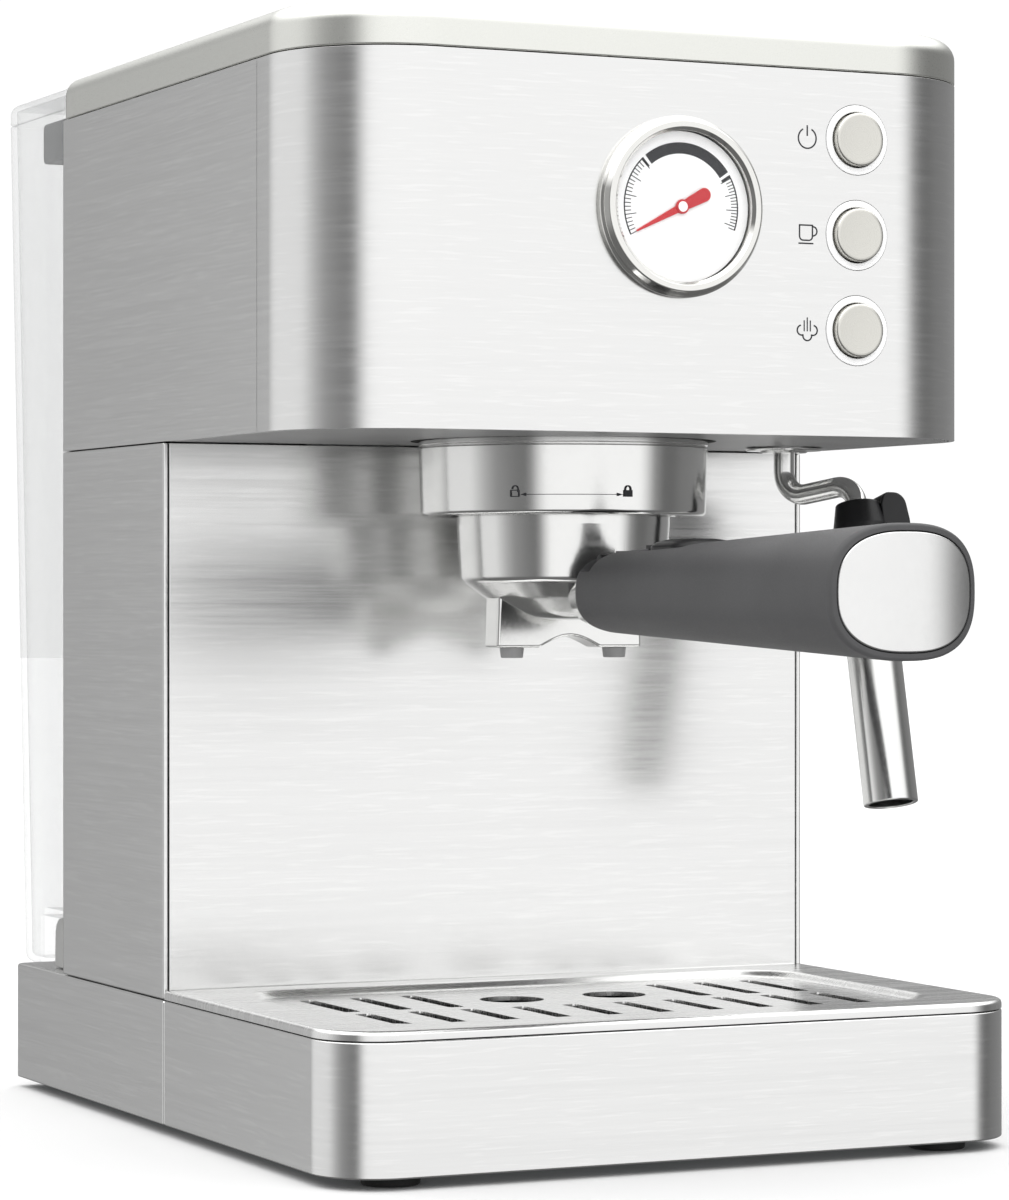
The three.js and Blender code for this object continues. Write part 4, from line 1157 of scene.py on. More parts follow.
class BuildGroup(bpy.types.Operator):
    """Builds the brew group's collar and the lock marks printed on it."""

    bl_idname = "espresso.group"
    bl_label = "Brew group"

    def execute(self, context):
        low, high = spot("group_collar")
        centre = (low + high) / 2
        flange = radius_of("group_collar")
        radius = flange - 3.3
        head = spot("head_underside")[0].z
        lip = 31.5
        bore = 34.5
        lip_top = low.z + 3.5
        profile = [
            (lip, low.z, 0.5),
            (radius - 0.6, low.z, 1.4),
            (radius, head - 2.2, 0.2),
            (radius - 0.35, head - 2.0, 0.1),
            (radius - 0.35, head - 1.5, 0.1),
            (radius, head - 1.3, 0.2),
            (radius, head + 2.3, 0.1),
            (flange, head + 2.3, 0.1),
            (flange, high.z, 0.1),
            (bore, high.z, 0),
            (bore, lip_top, 0.1),
            (lip, lip_top, 0.4),
        ]
        collar = turned_soft(profile, 160)
        opening = box((-34, 34), (-7.5, 7.5), (low.z - 1, lip_top + 1))
        opening = opening.moved(Matrix.Rotation(-LOCK_TURN, 4, "Z"))
        collar = cut(collar, opening).to(centre.x, centre.y)
        finished("brew_collar", collar, "polished_steel", "machine", "group_collar")
        self.build_marks(centre, radius, low.z)
        return {"FINISHED"}

    def build_marks(self, centre, radius, bottom):
        """A shut and an open padlock with a double arrow between them, wrapped on the collar."""
        z = bottom + 5.6
        left, right = -radius * LOCK_TURN, 0.0
        axis = Vector((centre.x, centre.y, 0))
        up = Vector((0, 0, 1))

        def wrapped(points):
            """A flat shape of (along, height) points laid on the collar."""
            rings = []
            for out in (radius - 0.12, radius + 0.09):
                turns = [u / radius - math.pi / 2 for u, _ in points]
                arms = [Vector((out * math.cos(turn), out * math.sin(turn), 0)) for turn in turns]
                rings.append([axis + arm + up * v for arm, (_, v) in zip(arms, points)])
            return stacked(rings)

        def ribbon(points, width):
            one, other = edges_of([Vector(point) for point in points], width)
            return wrapped(one + other[::-1])

        def shackle(x, foot, width):
            """A padlock's bow, whose left leg ends at foot."""
            half, shoulder, rise = 0.82, 1.15, 0.95
            turns = [math.pi * i / 12 for i in range(13)]
            bow = [(x + half * math.cos(t), z + shoulder + rise * math.sin(t)) for t in turns]
            return ribbon([(x + half, z + 0.3)] + bow + [(x - half, z + foot)], width)

        def corners(x, w, h):
            return [(x - w, z - h), (x + w, z - h), (x + w, z + h), (x - w, z + h)]

        marks = wrapped(corners(right, 1.25, 0.9)).beside(shackle(right, 0.3, 0.32))
        case = corners(left, 1.15, 0.85)
        for pair in zip(case, case[1:] + case[:1]):
            marks = marks.beside(ribbon(pair, 0.24))
        marks = marks.beside(shackle(left + 0.1, 1.15, 0.26))
        start, stop = left + 2.1, right - 2.1
        count = 24
        shaft = [(start + (stop - start) * i / count, z - 0.3) for i in range(count + 1)]
        marks = marks.beside(ribbon(shaft, 0.16))
        for tip, way in ((start - 0.4, 1), (stop + 0.4, -1)):
            head = [(tip, z - 0.3), (tip + way * 1.5, z + 0.15), (tip + way * 1.5, z - 0.75)]
            marks = marks.beside(wrapped(head if way > 0 else head[::-1]))
        finished("lock_marks", marks, "ink", "machine", slot="black_plastic")


class BuildPortafilter(bpy.types.Operator):
    """Builds the bowl with its lugs, spout block and neck, the nozzles and the filter basket."""

    bl_idname = "espresso.portafilter"
    bl_label = "Portafilter"

    def execute(self, context):
        bottom = spot("group_collar")[0].z
        centre = middle("group_collar")
        rim = spot("portafilter_body")[1].z
        floor = bottom - 28
        radius = 30.0
        outside = [
            (0, floor - 1.5, 0),
            (12, floor - 0.5, 20),
            (22.5, floor + 5.2, 14),
            (radius - 0.9, bottom - 18.0, 2.6),
            (radius, bottom - 2.4, 3),
            (radius, rim, 0.6),
            (0, rim, 0),
        ]
        bore = 27.6
        hollow = [
            (0, floor + 7.5, 0),
            (bore - 6, floor + 7.5, 3),
            (bore, bottom - 16, 2),
            (bore, rim + 1, 0),
            (0, rim + 1, 0),
        ]
        block_bottom = spot("spout_left")[0].z + 2.9
        half = 22.5  # half the spout block's width
        arch = [Vector((-half, block_bottom))]
        for i in range(33):
            share = i / 32 * 2 - 1
            lift = 3.2 * math.cos(share * math.pi / 2) ** 1.06
            arch.append(Vector((9.4 * share, block_bottom + lift)))
        arch += [
            Vector((half, block_bottom)),
            Vector((half - 0.6, floor + 9)),
            Vector((0.6 - half, floor + 9)),
        ]
        block = softened(prism(arch, (-4.5, 4.5)).moved(FRONT_TURN), 0.9, 3)
        grip = centre.y - spot("handle_grip")[1].y  # from the bowl's middle to the handle
        neck = [
            (0, 22, 0),
            (9.2, 22, 0),
            (7.6, 31, 5),
            (5.6, 33.5, 2),
            (5.6, grip + 1.4, 0.4),
            (4.8, grip + 1.6, 0.3),
            (4.8, grip + 30, 0.8),
            (0, grip + 30, 0),
        ]
        neck = turned_soft(neck, 64, 6).moved(FRONT_TURN).to(0, 0, middle("handle_end_cap").z)
        body = joined(turned_soft(outside, 128, 8), block, neck)
        body = joined(cut(body, turned_soft(hollow, 96, 6)), self.lugs(bottom + 4, bottom + 8))
        half_gap = (middle("spout_right").x - middle("spout_left").x) / 2
        bore = rod(3.6, (block_bottom - 4, floor + 8.2), 32)
        body = cut(body, bore.to(-half_gap), bore.to(half_gap)).to(centre.x, centre.y)
        finished(
            "portafilter_bowl", body, "polished_steel", "portafilter", "portafilter_body", sharp=35
        )
        for side in ("left", "right"):
            place = middle(f"spout_{side}")
            low, high = spot(f"spout_{side}")
            outside = radius_of(f"spout_{side}")
            profile = [
                (outside - 1, low.z, 0.3),
                (outside - 0.3, low.z, 0.7),
                (outside, low.z + 2.6, 0.2),
                (outside, high.z, 0.1),
                (outside - 1, high.z, 0.1),
            ]
            finished(
                f"nozzle_{side}",
                turned_soft(profile, 48).to(place.x, place.y),
                "spout_plastic",
                "portafilter",
                f"spout_{side}",
                slot="handle_plastic",
            )
        low, high = spot("filter_basket")
        wide = radius_of("filter_basket")
        basket = turned_soft(
            [
                (0, low.z, 0),
                (25.5, low.z, 1.5),
                (27, high.z - 1.2, 0.3),
                (wide, high.z - 1.2, 0.4),
                (wide, high.z, 0.4),
                (26.2, high.z, 0.5),
                (24.7, low.z + 0.8, 1),
                (0, low.z + 0.8, 0),
            ],
            96,
        )
        finished(
            "coffee_basket",
            basket.to(centre.x, centre.y),
            "polished_steel",
            "portafilter",
            "filter_basket",
        )
        return {"FINISHED"}

    @staticmethod
    def lugs(low, high):
        """The two lugs that lock the bowl into the collar."""
        ring = [(28.2, low, 0), (33.7, low, 0.6), (33.7, high, 0.6), (28.2, high, 0)]
        across = box((-60, 60), (-6.5, 6.5), (low - 2, high + 2))
        return combined("INTERSECT", turned_soft(ring, 96), across)


class BuildHandle(bpy.types.Operator):
    """Builds the swelling handle, its metal end cap and the basket clip."""

    bl_idname = "espresso.handle"
    bl_label = "Handle and clip"

    def execute(self, context):
        handle = context.scene.espresso_handle
        low, high = spot("handle_grip")
        axis_z = middle("handle_end_cap").z
        centre_x = middle("handle_end_cap").x
        start, stop = high.y, low.y
        length = start - stop

        def ring(along, inset, bend=0.0, scale=1.0):
            """One section: an oval squared to the given power, bent back towards its sides."""
            share = along / length
            width = mm(handle.near_width) * (1 - share) + mm(handle.far_width) * share
            height = mm(handle.near_height) * (1 - share) + mm(handle.far_height) * share
            a, b = (width / 2 - inset) * scale, (height / 2 - inset) * scale
            power = 2 / handle.squareness
            line = []
            for i in range(96):
                c, s = math.cos(math.tau * i / 96), math.sin(math.tau * i / 96)
                x = a * math.copysign(abs(c) ** power, c)
                z = b * math.copysign(abs(s) ** power, s)
                back = bend * mm(handle.bend) * abs(2 * x / width) ** 2.3
                line.append(Vector((centre_x + x, start - along + back, axis_z + z)))
            return line

        nose = 6.0
        end_edge = 1.6
        rings = [ring(nose * along, nose * inset) for along, inset in quarter(8)]
        for i in range(1, 13):
            rings.append(ring(nose + (length - end_edge - nose) * i / 12, 0, (i / 12) ** 6))
        for inset, short in quarter(5)[1:]:
            rings.append(ring(length - end_edge * short, 0.9 * inset, 1))
        seat = ((0, 1.8), (0.3, 1.9), (2.9, 1.9))  # (depth, inset) of the end cap's recess
        rings += [ring(length - depth, inset, 1) for depth, inset in seat]
        grip = stacked(rings)
        clip_low, clip_high = spot("basket_clip")
        pin_y = clip_high.y - 2.2
        pin_z = axis_z + 8.2
        pad_front = clip_low.y
        pad_rear = pad_front + 26
        pad_z = axis_z + mm(handle.near_height) / 2 + 0.2
        neck = rod(5.1, (-2, 30.4)).moved(FRONT_TURN)
        over = 20  # each pocket is cut out through the handle's top
        pin_slot = box((-60, 60), (pin_y - 4.2, pin_y + 3.7), (pin_z - 2.7, pin_z + over))
        arm_slot = box((-6.6, 6.6), (pad_rear - 1, pin_y), (pin_z, pin_z + over))
        pad_y = (pad_front - 0.6, pad_rear + 0.6)
        pad_seat = box((-10.6, 10.6), pad_y, (pad_z - 0.6, pad_z + over))
        grip = cut(
            grip,
            neck.to(centre_x, start, axis_z),
            softened(pin_slot, 0.8, 3),
            arm_slot,
            softened(pad_seat, 1.5, 3),
        )
        finished("handle_body", grip, "handle_plastic", "portafilter", "handle_grip", sharp=35)
        cap_inset = 2.05
        cap_edge = 0.5
        dome = 0.35
        cap_rings = [ring(length - 2.6, cap_inset, 1)]
        for inset, short in quarter(5):
            cap_rings.append(ring(length - cap_edge * short, cap_inset + cap_edge * inset, 1))
        for i in range(1, 12):
            scale = 1 - i / 12
            rise = dome * (1 - scale**2)
            cap_rings.append(ring(length + rise, cap_inset + cap_edge, 1, scale))
        finished(
            "handle_cap",
            stacked(cap_rings),
            "satin_cap",
            "portafilter",
            "handle_end_cap",
            slot="brushed_steel",
        )
        pin = turned_soft([(0, -11, 0), (2.2, -11, 0.5), (2.2, 11, 0.5), (0, 11, 0)], 32)
        pin = pin.moved(RIGHT_TURN).to(centre_x, pin_y, pin_z)
        base = outline((-9.5, 9.5), (pad_front, pad_rear), 8.5, 8.5, 10)
        pad_rings = [level(base, pad_z)]
        for inset, drop in quarter(10):
            pad_rings.append(level(drawn_in(base, 7.6 * inset), pad_z + 3.0 - 2.4 * drop))
        pad = stacked(pad_rings).to(centre_x)
        arm = box((-6, 6), (pad_rear - 0.5, pin_y), (pin_z + 0.8, pin_z + 3))
        riser = box((-6, 6), (pad_rear - 0.5, pad_rear + 3), (pin_z + 0.8, pad_z + 1.4))
        finished(
            "clip_lever",
            joined(pin, softened(joined(arm, riser), 0.3), pad),
            "black_plastic",
            "clip",
            "basket_clip",
            sharp=35,
        )
        return {"FINISHED"}


# ---- Steam wand and knob ----


class BuildWand(bpy.types.Operator):
    """Builds the steam wand's nut, bent tube, black grip and frothing sleeve."""

    bl_idname = "espresso.wand"
    bl_label = "Steam wand"

    def execute(self, context):
        head = spot("head_underside")[0].z
        pivot = middle("wand_nut")
        nut_top = spot("wand_nut")[1].z
        outer = radius_of("wand_nut")
        nut = turned_soft(
            [
                (3.3, head - 1.6, 0.2),
                (outer - 5, head - 1.6, 0.4),
                (outer - 4.4, head - 1.1, 0.3),
                (outer - 0.6, head - 1.0, 0.4),
                (outer, head - 0.3, 0.2),
                (outer - 3, head - 0.3, 0),
                (outer - 3, nut_top, 0),
                (3.3, nut_top, 0),
            ],
            72,
        )
        finished("wand_collar", nut.to(pivot.x, pivot.y), "polished_steel", "machine", "wand_nut")
        elbow = Vector((pivot.x + 10, pivot.y - 24, head - 11))
        tip = elbow + Vector((-1.3, -22.8, -91.4))
        lower = (tip - elbow).normalized()
        corners = [
            Vector((pivot.x, pivot.y, spot("wand_tube")[1].z)),
            Vector((pivot.x, pivot.y, head - 15)),
            elbow,
            tip - lower * 14,
        ]
        finished(
            "wand_pipe",
            self.bent_tube(corners, 3.0, 7.0),
            "polished_steel",
            "steam_wand",
            "wand_tube",
        )
        turn = Vector((0, 0, 1)).rotation_difference(-lower).to_matrix().to_4x4()
        place = Matrix.Translation(tip) @ turn
        # Heights from here on run up the wand from its tip.
        top = (elbow - tip).length - 4
        bottom = top - 28
        spigot = 6.05
        profile = [
            (3.5, bottom - 16, 0.2),
            (spigot, bottom - 16, 0.4),
            (spigot, bottom, 0),
            (8.0, bottom, 0.5),
            (8.6, bottom + 3, 2),
            (7.6, top - 9, 4),
            (6.2, top - 2, 1.6),
            (5, top - 2, 0.4),
            (5, top - 8, 0),
            (3.5, top - 8, 0.2),
        ]
        grip = turned_soft(profile, 72)
        tab_side = filleted(
            [
                (5.4, bottom + 4.5, 0.5),
                (12.6, bottom + 6.5, 2.5),
                (14.6, top - 8, 6),
                (13.4, top + 0.6, 4),
                (6.6, top + 0.6, 3),
                (5.4, top - 3, 0.5),
            ],
            6,
        )
        tab = softened(prism(tab_side, (-4.6, 4.6)).moved(FRONT_TURN), 1.2, 3, 50)
        grip = joined(grip, tab).moved(place)
        finished("wand_holder", grip, "black_plastic", "steam_wand", "wand_grip", sharp=35)
        sleeve = turned_soft(
            [
                (6.35, 0, 0.3),
                (7.75, 0, 0.3),
                (7.75, bottom - 0.3, 0.4),
                (6.35, bottom - 0.3, 0.2),
            ],
            96,
        )
        finished("wand_sleeve", sleeve.moved(place), "polished_steel", "sleeve", "froth_sleeve")
        return {"FINISHED"}

    @staticmethod
    def bent_tube(corners, radius, bend):
        """A round tube through corners, each bend an arc of the given radius."""
        route = [corners[0]]
        for i in range(1, len(corners) - 1):
            back = (corners[i - 1] - corners[i]).normalized()
            ahead = (corners[i + 1] - corners[i]).normalized()
            half = back.angle(ahead) / 2
            reach = bend / math.tan(half)
            centre = corners[i] + (back + ahead).normalized() * (bend / math.sin(half))
            first = corners[i] + back * reach - centre
            final = corners[i] + ahead * reach - centre
            for step in range(17):
                route.append(centre + first.slerp(final, step / 16) * bend)
        route.append(corners[-1])
        return swept(route, circle(radius, 32))


class BuildKnob(bpy.types.Operator):
    """Builds the ribbed steam knob on the right side."""

    bl_idname = "espresso.knob"
    bl_label = "Steam knob"

    def execute(self, context):
        settings = context.scene.espresso_knob
        low, high = spot("steam_knob")
        centre = (low + high) / 2
        radius = (high.z - low.z) / 2
        start, stop = low.x, high.x - 0.8
        depth = stop - start
        profile = [
            (0, 8, 0),
            (3.3, 8, 0),
            (3.3, 1.2, 0),
            (radius - 4, 1.2, 0.3),
            (radius - 4, 0, 0.3),
            (radius - 0.3, 0, 0.8),
            (radius - 0.3, 3.5, 0.6),
            (radius - 1.4, 5, 0.8),
            (radius - 2.0, depth - 3, 1.5),
            (radius - 4.0, depth, 1.5),
            (radius - 5.5, depth, 0.5),
            (radius - 6.2, depth - 0.7, 0.5),
            (0, depth - 0.5, 0),
        ]
        half_rib = mm(settings.rib) / 2
        section = outline((-0.9, 0.9), (-half_rib, half_rib), 0.4, 0.4, 4)
        rib = slab(section, (4.2, depth - 3.2), 0.4, 3)
        ring = {
            "Count": settings.ribs,
            "Start": 1.3,
            "Sweep": 360.0 * (settings.ribs - 1) / settings.ribs,
            "Radius": radius - 1.75,
        }
        ribs = grown(rib, ring_tree(), "black_plastic", [ring])
        knob = joined(turned_soft(profile, 128, 6), ribs)
        knob = knob.moved(RIGHT_TURN).to(start, centre.y, centre.z)
        finished("tap_knob", knob, "black_plastic", "steam_tap", "steam_knob", sharp=35)
        mark_y = (centre.y - 0.8, centre.y + 0.8)
        mark = softened(box((stop - 1, high.x), mark_y, (centre.z + 3.5, high.z - 7)), 0.3, 3)
        finished("tap_pointer", mark, "white_plastic", "steam_tap")
        return {"FINISHED"}


# ---- Gauge and buttons ----


def front_arc(radius, start, stop, thickness, depth, steps=48):
    """A curved bar in the front plane; angles in degrees clockwise from straight up."""
    inner, outer = [], []
    for i in range(steps + 1):
        angle = math.radians(90 - (start + (stop - start) * i / steps))
        spoke = Vector((math.cos(angle), math.sin(angle)))
        outer.append(spoke * radius)
        inner.append(spoke * (radius - thickness))
    return prism(outer + inner[::-1], depth)


class BuildGauge(bpy.types.Operator):
    """Builds the pressure gauge: bezel, glass, case, printed dial and needle."""

    bl_idname = "espresso.gauge"
    bl_label = "Pressure gauge"

    def execute(self, context):
        gauge = context.scene.espresso_gauge
        centre = middle("gauge_dial")
        panel = spot("head_front_panel")[0].y
        glass = radius_of("gauge_dial")
        rim = radius_of("gauge_bezel") - 0.4
        proud = panel - spot("gauge_bezel")[0].y
        pane_front = panel - spot("gauge_glass")[0].y

        def facing(shape, out):
            """Lays a shape, drawn with Z towards the user, out from the panel's face."""
            return shape.to(0, 0, out).moved(FRONT_TURN).to(centre.x, panel, centre.z)

        bezel = turned_soft(
            [
                (glass + 0.3, 0.3, 0.1),
                (rim - 0.9, 0.3, 0.2),
                (rim, 0.9, 0.4),
                (rim, 1.7, 0.4),
                (rim - 0.5, 2.1, 0.2),
                (rim - 0.5, 2.9, 0.4),
                (rim - 1.5, proud, 0.7),
                (glass + 0.8, proud, 0.3),
                (glass - 0.1, pane_front + 0.2, 0.2),
                (glass - 0.1, pane_front + 0.05, 0),
                (glass + 0.3, pane_front + 0.05, 0),
            ],
            160,
        )
        finished(
            "gauge_rim", facing(bezel, 0), "bezel", "machine", "gauge_bezel", slot="polished_steel"
        )
        pane_back = pane_front - 0.5
        pane = turned_soft(
            [
                (0, pane_back, 0),
                (glass, pane_back, 0.1),
                (glass, pane_front, 0.2),
                (0, pane_front, 0),
            ]
        )
        finished("gauge_pane", facing(pane, 0), "gauge_glass", "machine", "gauge_glass")
        case_depth = panel - spot("gauge_case")[1].y
        case = turned_soft(
            [
                (0, case_depth, 0),
                (glass + 1.5, case_depth, 1.5),
                (glass + 1.5, -0.3, 0.2),
                (glass + 0.6, -0.3, 0.2),
                (glass + 0.6, case_depth + 2, 1),
                (0, case_depth + 2, 0),
            ]
        )
        finished("gauge_housing", facing(case, 0), "inner_steel", "machine", "gauge_case")
        card_front = panel - spot("gauge_dial")[0].y + 0.5
        card_back = card_front - 1
        card = turned_soft(
            [
                (1.5, card_back, 0),
                (glass, card_back, 0.1),
                (glass, card_front, 0.2),
                (1.5, card_front, 0.1),
            ]
        )
        finished("dial_card", facing(card, 0), "white_dial", "machine", "gauge_dial")
        self.build_scale(gauge, facing, card_front)
        self.build_needle(facing, card_front)
        return {"FINISHED"}

    def build_scale(self, gauge, facing, card_front):
        radius = mm(gauge.scale_radius)
        tick = mm(gauge.tick)
        depth = (0, 0.08)
        band, line = 3.0, 0.35
        scale = front_arc(radius, -38.7, 55, band, depth)
        for angle in (-43.2, 59.2):
            scale = scale.beside(front_arc(radius, angle - 1.3, angle + 1.3, band, depth, 4))
        # Each arc of ticks runs from the band outwards, in degrees clockwise from straight up.
        right, left = (61, 109.4), (-44, -117.5)
        scale = scale.beside(front_arc(radius, *right, line, depth, 24))
        scale = scale.beside(front_arc(radius, *reversed(left), line, depth, 32))
        mark = box((-tick, 0), (-0.11, 0.11), depth)
        tree = ring_tree()
        for (start, stop), count in ((right, gauge.ticks), (left, gauge.left_ticks)):
            arc = {
                "Count": count,
                "Start": 90.0 - start,
                "Sweep": float(start - stop),
                "Radius": radius,
                "Long every": 5,
                "Stretch": 1.7,
            }
            scale = scale.beside(grown(mark, tree, "ink", [arc]))
        finished(
            "dial_scale", facing(scale, card_front + 0.01), "ink", "machine", slot="black_plastic"
        )

    def build_needle(self, facing, card_front):
        """A tapering blade with a rounded tail, turned to the start of the scale, and its hub."""
        tip, tail = 15.3, 9.4
        blade = filleted(
            [
                (-0.25, tip, 0.2),
                (-1.0, 1.5, 3),
                (-1.5, -2.5, 3),
                (-2.0, -tail, 1.9),
                (2.0, -tail, 1.9),
                (1.5, -2.5, 3),
                (1.0, 1.5, 3),
                (0.25, tip, 0.2),
            ],
            6,
        )
        turn = Matrix.Rotation(math.radians(117), 4, "Z")
        blade = slab(blade, (0.35, 0.75), 0.12, 2).moved(turn)
        hub = turned_soft([(0, 0.3, 0), (1.95, 0.3, 0.1), (1.95, 1.05, 0.25), (0, 1.05, 0)], 48)
        spindle = rod(1, (-13.5, 0.5), 24)
        finished(
            "needle_blade",
            facing(joined(blade, hub, spindle), card_front),
            "red_needle",
            "needle",
            "gauge_needle",
        )
        cap = turned_soft([(0, 1.06, 0), (1.45, 1.06, 0.05), (1.3, 1.25, 0.1), (0, 1.3, 0)], 48)
        finished("needle_cap", facing(cap, card_front), "white_plastic", "needle")


class BuildButtons(bpy.types.Operator):
    """Builds the three metal buttons, their light rings and the signs beside them."""

    bl_idname = "espresso.buttons"
    bl_label = "Buttons"

    def execute(self, context):
        panel = spot("head_front_panel")[0].y
        signs = {"power": self.power_sign, "brew": self.cup_sign, "steam": self.steam_sign}
        for use in BUTTONS:
            centre = middle(f"{use}_button")
            low, high = spot(f"{use}_button")
            radius = radius_of(f"{use}_button") - 0.25
            proud = panel - low.y + 0.8
            back = panel - high.y
            cap = turned_soft(
                [
                    (0, back, 0),
                    (2.5, back, 0.2),
                    (2.5, -3, 0.2),
                    (radius, -3, 0.2),
                    (radius, proud - 0.1, 0.5),
                    (radius - 0.9, proud, 0.3),
                    (0, proud - 0.25, 0),
                ],
                96,
            )
            axis = MACHINE_ZERO + Vector((centre.x, panel, centre.z)) / 1000
            finishes[f"{use}_cap"] = spun(f"Spun cap, {use}", (0.70, 0.69, 0.645), axis)
            finished(
                f"{use}_cap",
                cap.moved(FRONT_TURN).to(centre.x, panel, centre.z),
                f"{use}_cap",
                f"{use}_key",
                f"{use}_button",
                slot="brushed_steel",
            )
            outside = radius_of(f"{use}_light_ring")
            inside = radius + 0.35
            ring = turned_soft(
                [(inside, -4, 0.1), (outside, -4, 0.1), (outside, 0.3, 0.25), (inside, 0.3, 0.25)]
            )
            finished(
                f"{use}_ring",
                ring.moved(FRONT_TURN).to(centre.x, panel, centre.z),
                "white_plastic",
                "machine",
                f"{use}_light_ring",
            )
            shape = signs[use]().moved(FRONT_TURN).to(centre.x - 15.4, panel, centre.z)
            finished(f"{use}_sign", shape, "ink", "machine", slot="black_plastic")
        return {"FINISHED"}

    @staticmethod
    def stroke(points, width=0.42):
        """A printed line of even width through points, standing a hair proud of the panel."""
        one, other = edges_of([Vector(point) for point in points], width)
        return prism(one + other[::-1], (-0.04, 0.05))

    @staticmethod
    def arc(x, y, radius, start, stop, steps=24):
        angles = [math.radians(start + (stop - start) * i / steps) for i in range(steps + 1)]
        return [(x + radius * math.cos(a), y + radius * math.sin(a)) for a in angles]

    def power_sign(self):
        circle_line = self.stroke(self.arc(0, -0.2, 2.75, 118, 422, 48))
        return circle_line.beside(self.stroke([(0, 0.4), (0, 3.3)]))

    def cup_sign(self):
        bowl = [(-2.4, 2.2, 0), (-2.4, -1.9, 1.1), (1.6, -1.9, 1.1), (1.6, 2.2, 0)]
        body = filleted(bowl, 6, closed=False)
        shape = self.stroke(body).beside(self.stroke([(-2.6, 2.2), (1.8, 2.2)]))
        shape = shape.beside(self.stroke(self.arc(1.75, 0.6, 1.25, 90, -90, 16)))
        return shape.beside(self.stroke([(-2.7, -2.75), (1.9, -2.75)]))

    def steam_sign(self):
        lobes = self.stroke(self.arc(-1.75, -0.3, 1.35, 100, 290, 20))
        lobes = lobes.beside(self.stroke(self.arc(1.75, -0.3, 1.35, 80, -110, 20)))
        lobes = lobes.beside(self.stroke(self.arc(0, -1.75, 1.35, 165, 375, 20)))
        for x, top in ((-0.95, 2.4), (0, 3.2), (0.95, 2.4)):
            lobes = lobes.beside(self.stroke([(x, -0.6), (x, top)], 0.34))
        return lobes


# ---- Water tank ----


class BuildTank(bpy.types.Operator):
    """Builds the clear water tank, its lid, grip bar, valve and the dock that it stands on."""

    bl_idname = "espresso.tank"
    bl_label = "Water tank"

    def execute(self, context):
        low, high = spot("tank_body")
        wall = 2.0
        corner = 5.0
        bottom_depth = 40.7
        top_depth = high.y - low.y

        def ring(inset, z, edge=0.0):
            share = (z - low.z) / (high.z - low.z)
            depth = bottom_depth + (top_depth - bottom_depth) * share
            line = outline(
                (low.x + inset, high.x - inset),
                (low.y + inset, low.y + depth - inset),
                1.5,
                max(corner - inset, 1.2),
                6,
            )
            return level(drawn_in(line, edge), z)

        foot = 3.0
        height = high.z - low.z
        rings = [ring(0, low.z + foot * rise, foot * inset * 0.99) for rise, inset in quarter(5)]
        for i in range(1, 9):
            rings.append(ring(0, low.z + foot + (height - foot - 0.4) * i / 8))
        rings.append(ring(0, high.z, 0.4))
        rings.append(ring(wall, high.z - 0.1))
        for i in range(9):
            rings.append(ring(wall, high.z - 1 - (height - foot - 1) * i / 8))
        rings.append(ring(wall, low.z + wall, 1.0))
        tank = stacked(rings)
        dock_low, dock_high = spot("tank_dock")
        notch_y = dock_high.y + 1.5
        notch_z = dock_high.z + 0.6
        step = box((low.x - 5, high.x + 5), (low.y - 5, notch_y), (low.z - 5, notch_z))
        step = softened(step, 0.8, 3)
        shelf = box(
            (low.x + 0.5, high.x - 0.5), (low.y + 0.5, notch_y + wall), (low.z + 1, notch_z + wall)
        )
        valve = middle("tank_valve")
        hole = rod(5.3, (notch_z - 1, notch_z + 4))
        tank = cut(joined(tank, shelf), step, hole.to(valve.x, valve.y))
        finished("tank_shell", tank, "clear_plastic", "water_tank", "tank_body", sharp=35)

        low, high = spot("tank_handle")
        bar = outline((low.y, high.y + 6), (low.z, high.z), 2, 2, 6)
        bar = softened(prism(bar, (low.x, high.x)).moved(RIGHT_TURN), 0.6, 3, 60)
        finished("tank_bar", bar, "black_plastic", "water_tank", "tank_handle", sharp=35)

        low, high = spot("tank_lid")
        line = outline((low.x, high.x), (low.y, high.y), 1.5, corner, 8)
        cap = cover(line, (low.z, high.z), wall, 0.3, 3.4, 8)
        finished("tank_cap", cap, "clear_plastic", "tank_cover", "tank_lid", sharp=35)

        low, high = spot("tank_valve")
        wide = radius_of("tank_valve")
        plug = turned_soft(
            [
                (0, low.z, 0),
                (4, low.z, 0.6),
                (4, high.z - 6, 0.4),
                (wide, high.z - 6, 0.5),
                (wide, high.z - 3, 0.8),
                (3.4, high.z - 2.2, 0.6),
                (2.4, high.z, 0.8),
                (0, high.z, 0),
            ],
            64,
        )
        finished(
            "valve_disc", plug.to(valve.x, valve.y), "grey_plastic", "valve_plug", "tank_valve"
        )
        line = filleted(
            [
                (dock_low.y, dock_low.z, 0),
                (dock_high.y, dock_low.z, 0),
                (dock_high.y - 0.7, dock_high.z, 5.5),
                (dock_low.y, dock_high.z, 0.5),
            ],
            10,
        )
        dock = softened(prism(line, (dock_low.x, dock_high.x)).moved(RIGHT_TURN), 1.2, 3, 60)
        well = rod(6, (dock_high.z - 9, dock_high.z + 2))
        drain = rod(3.8, (dock_low.z - 2, dock_high.z - 8))
        dock = cut(dock, well.to(valve.x, valve.y), drain.to(valve.x, valve.y))
        finished("dock_block", dock, "grey_plastic", "machine", "tank_dock", sharp=35)
        return {"FINISHED"}


# ---- Inside ----


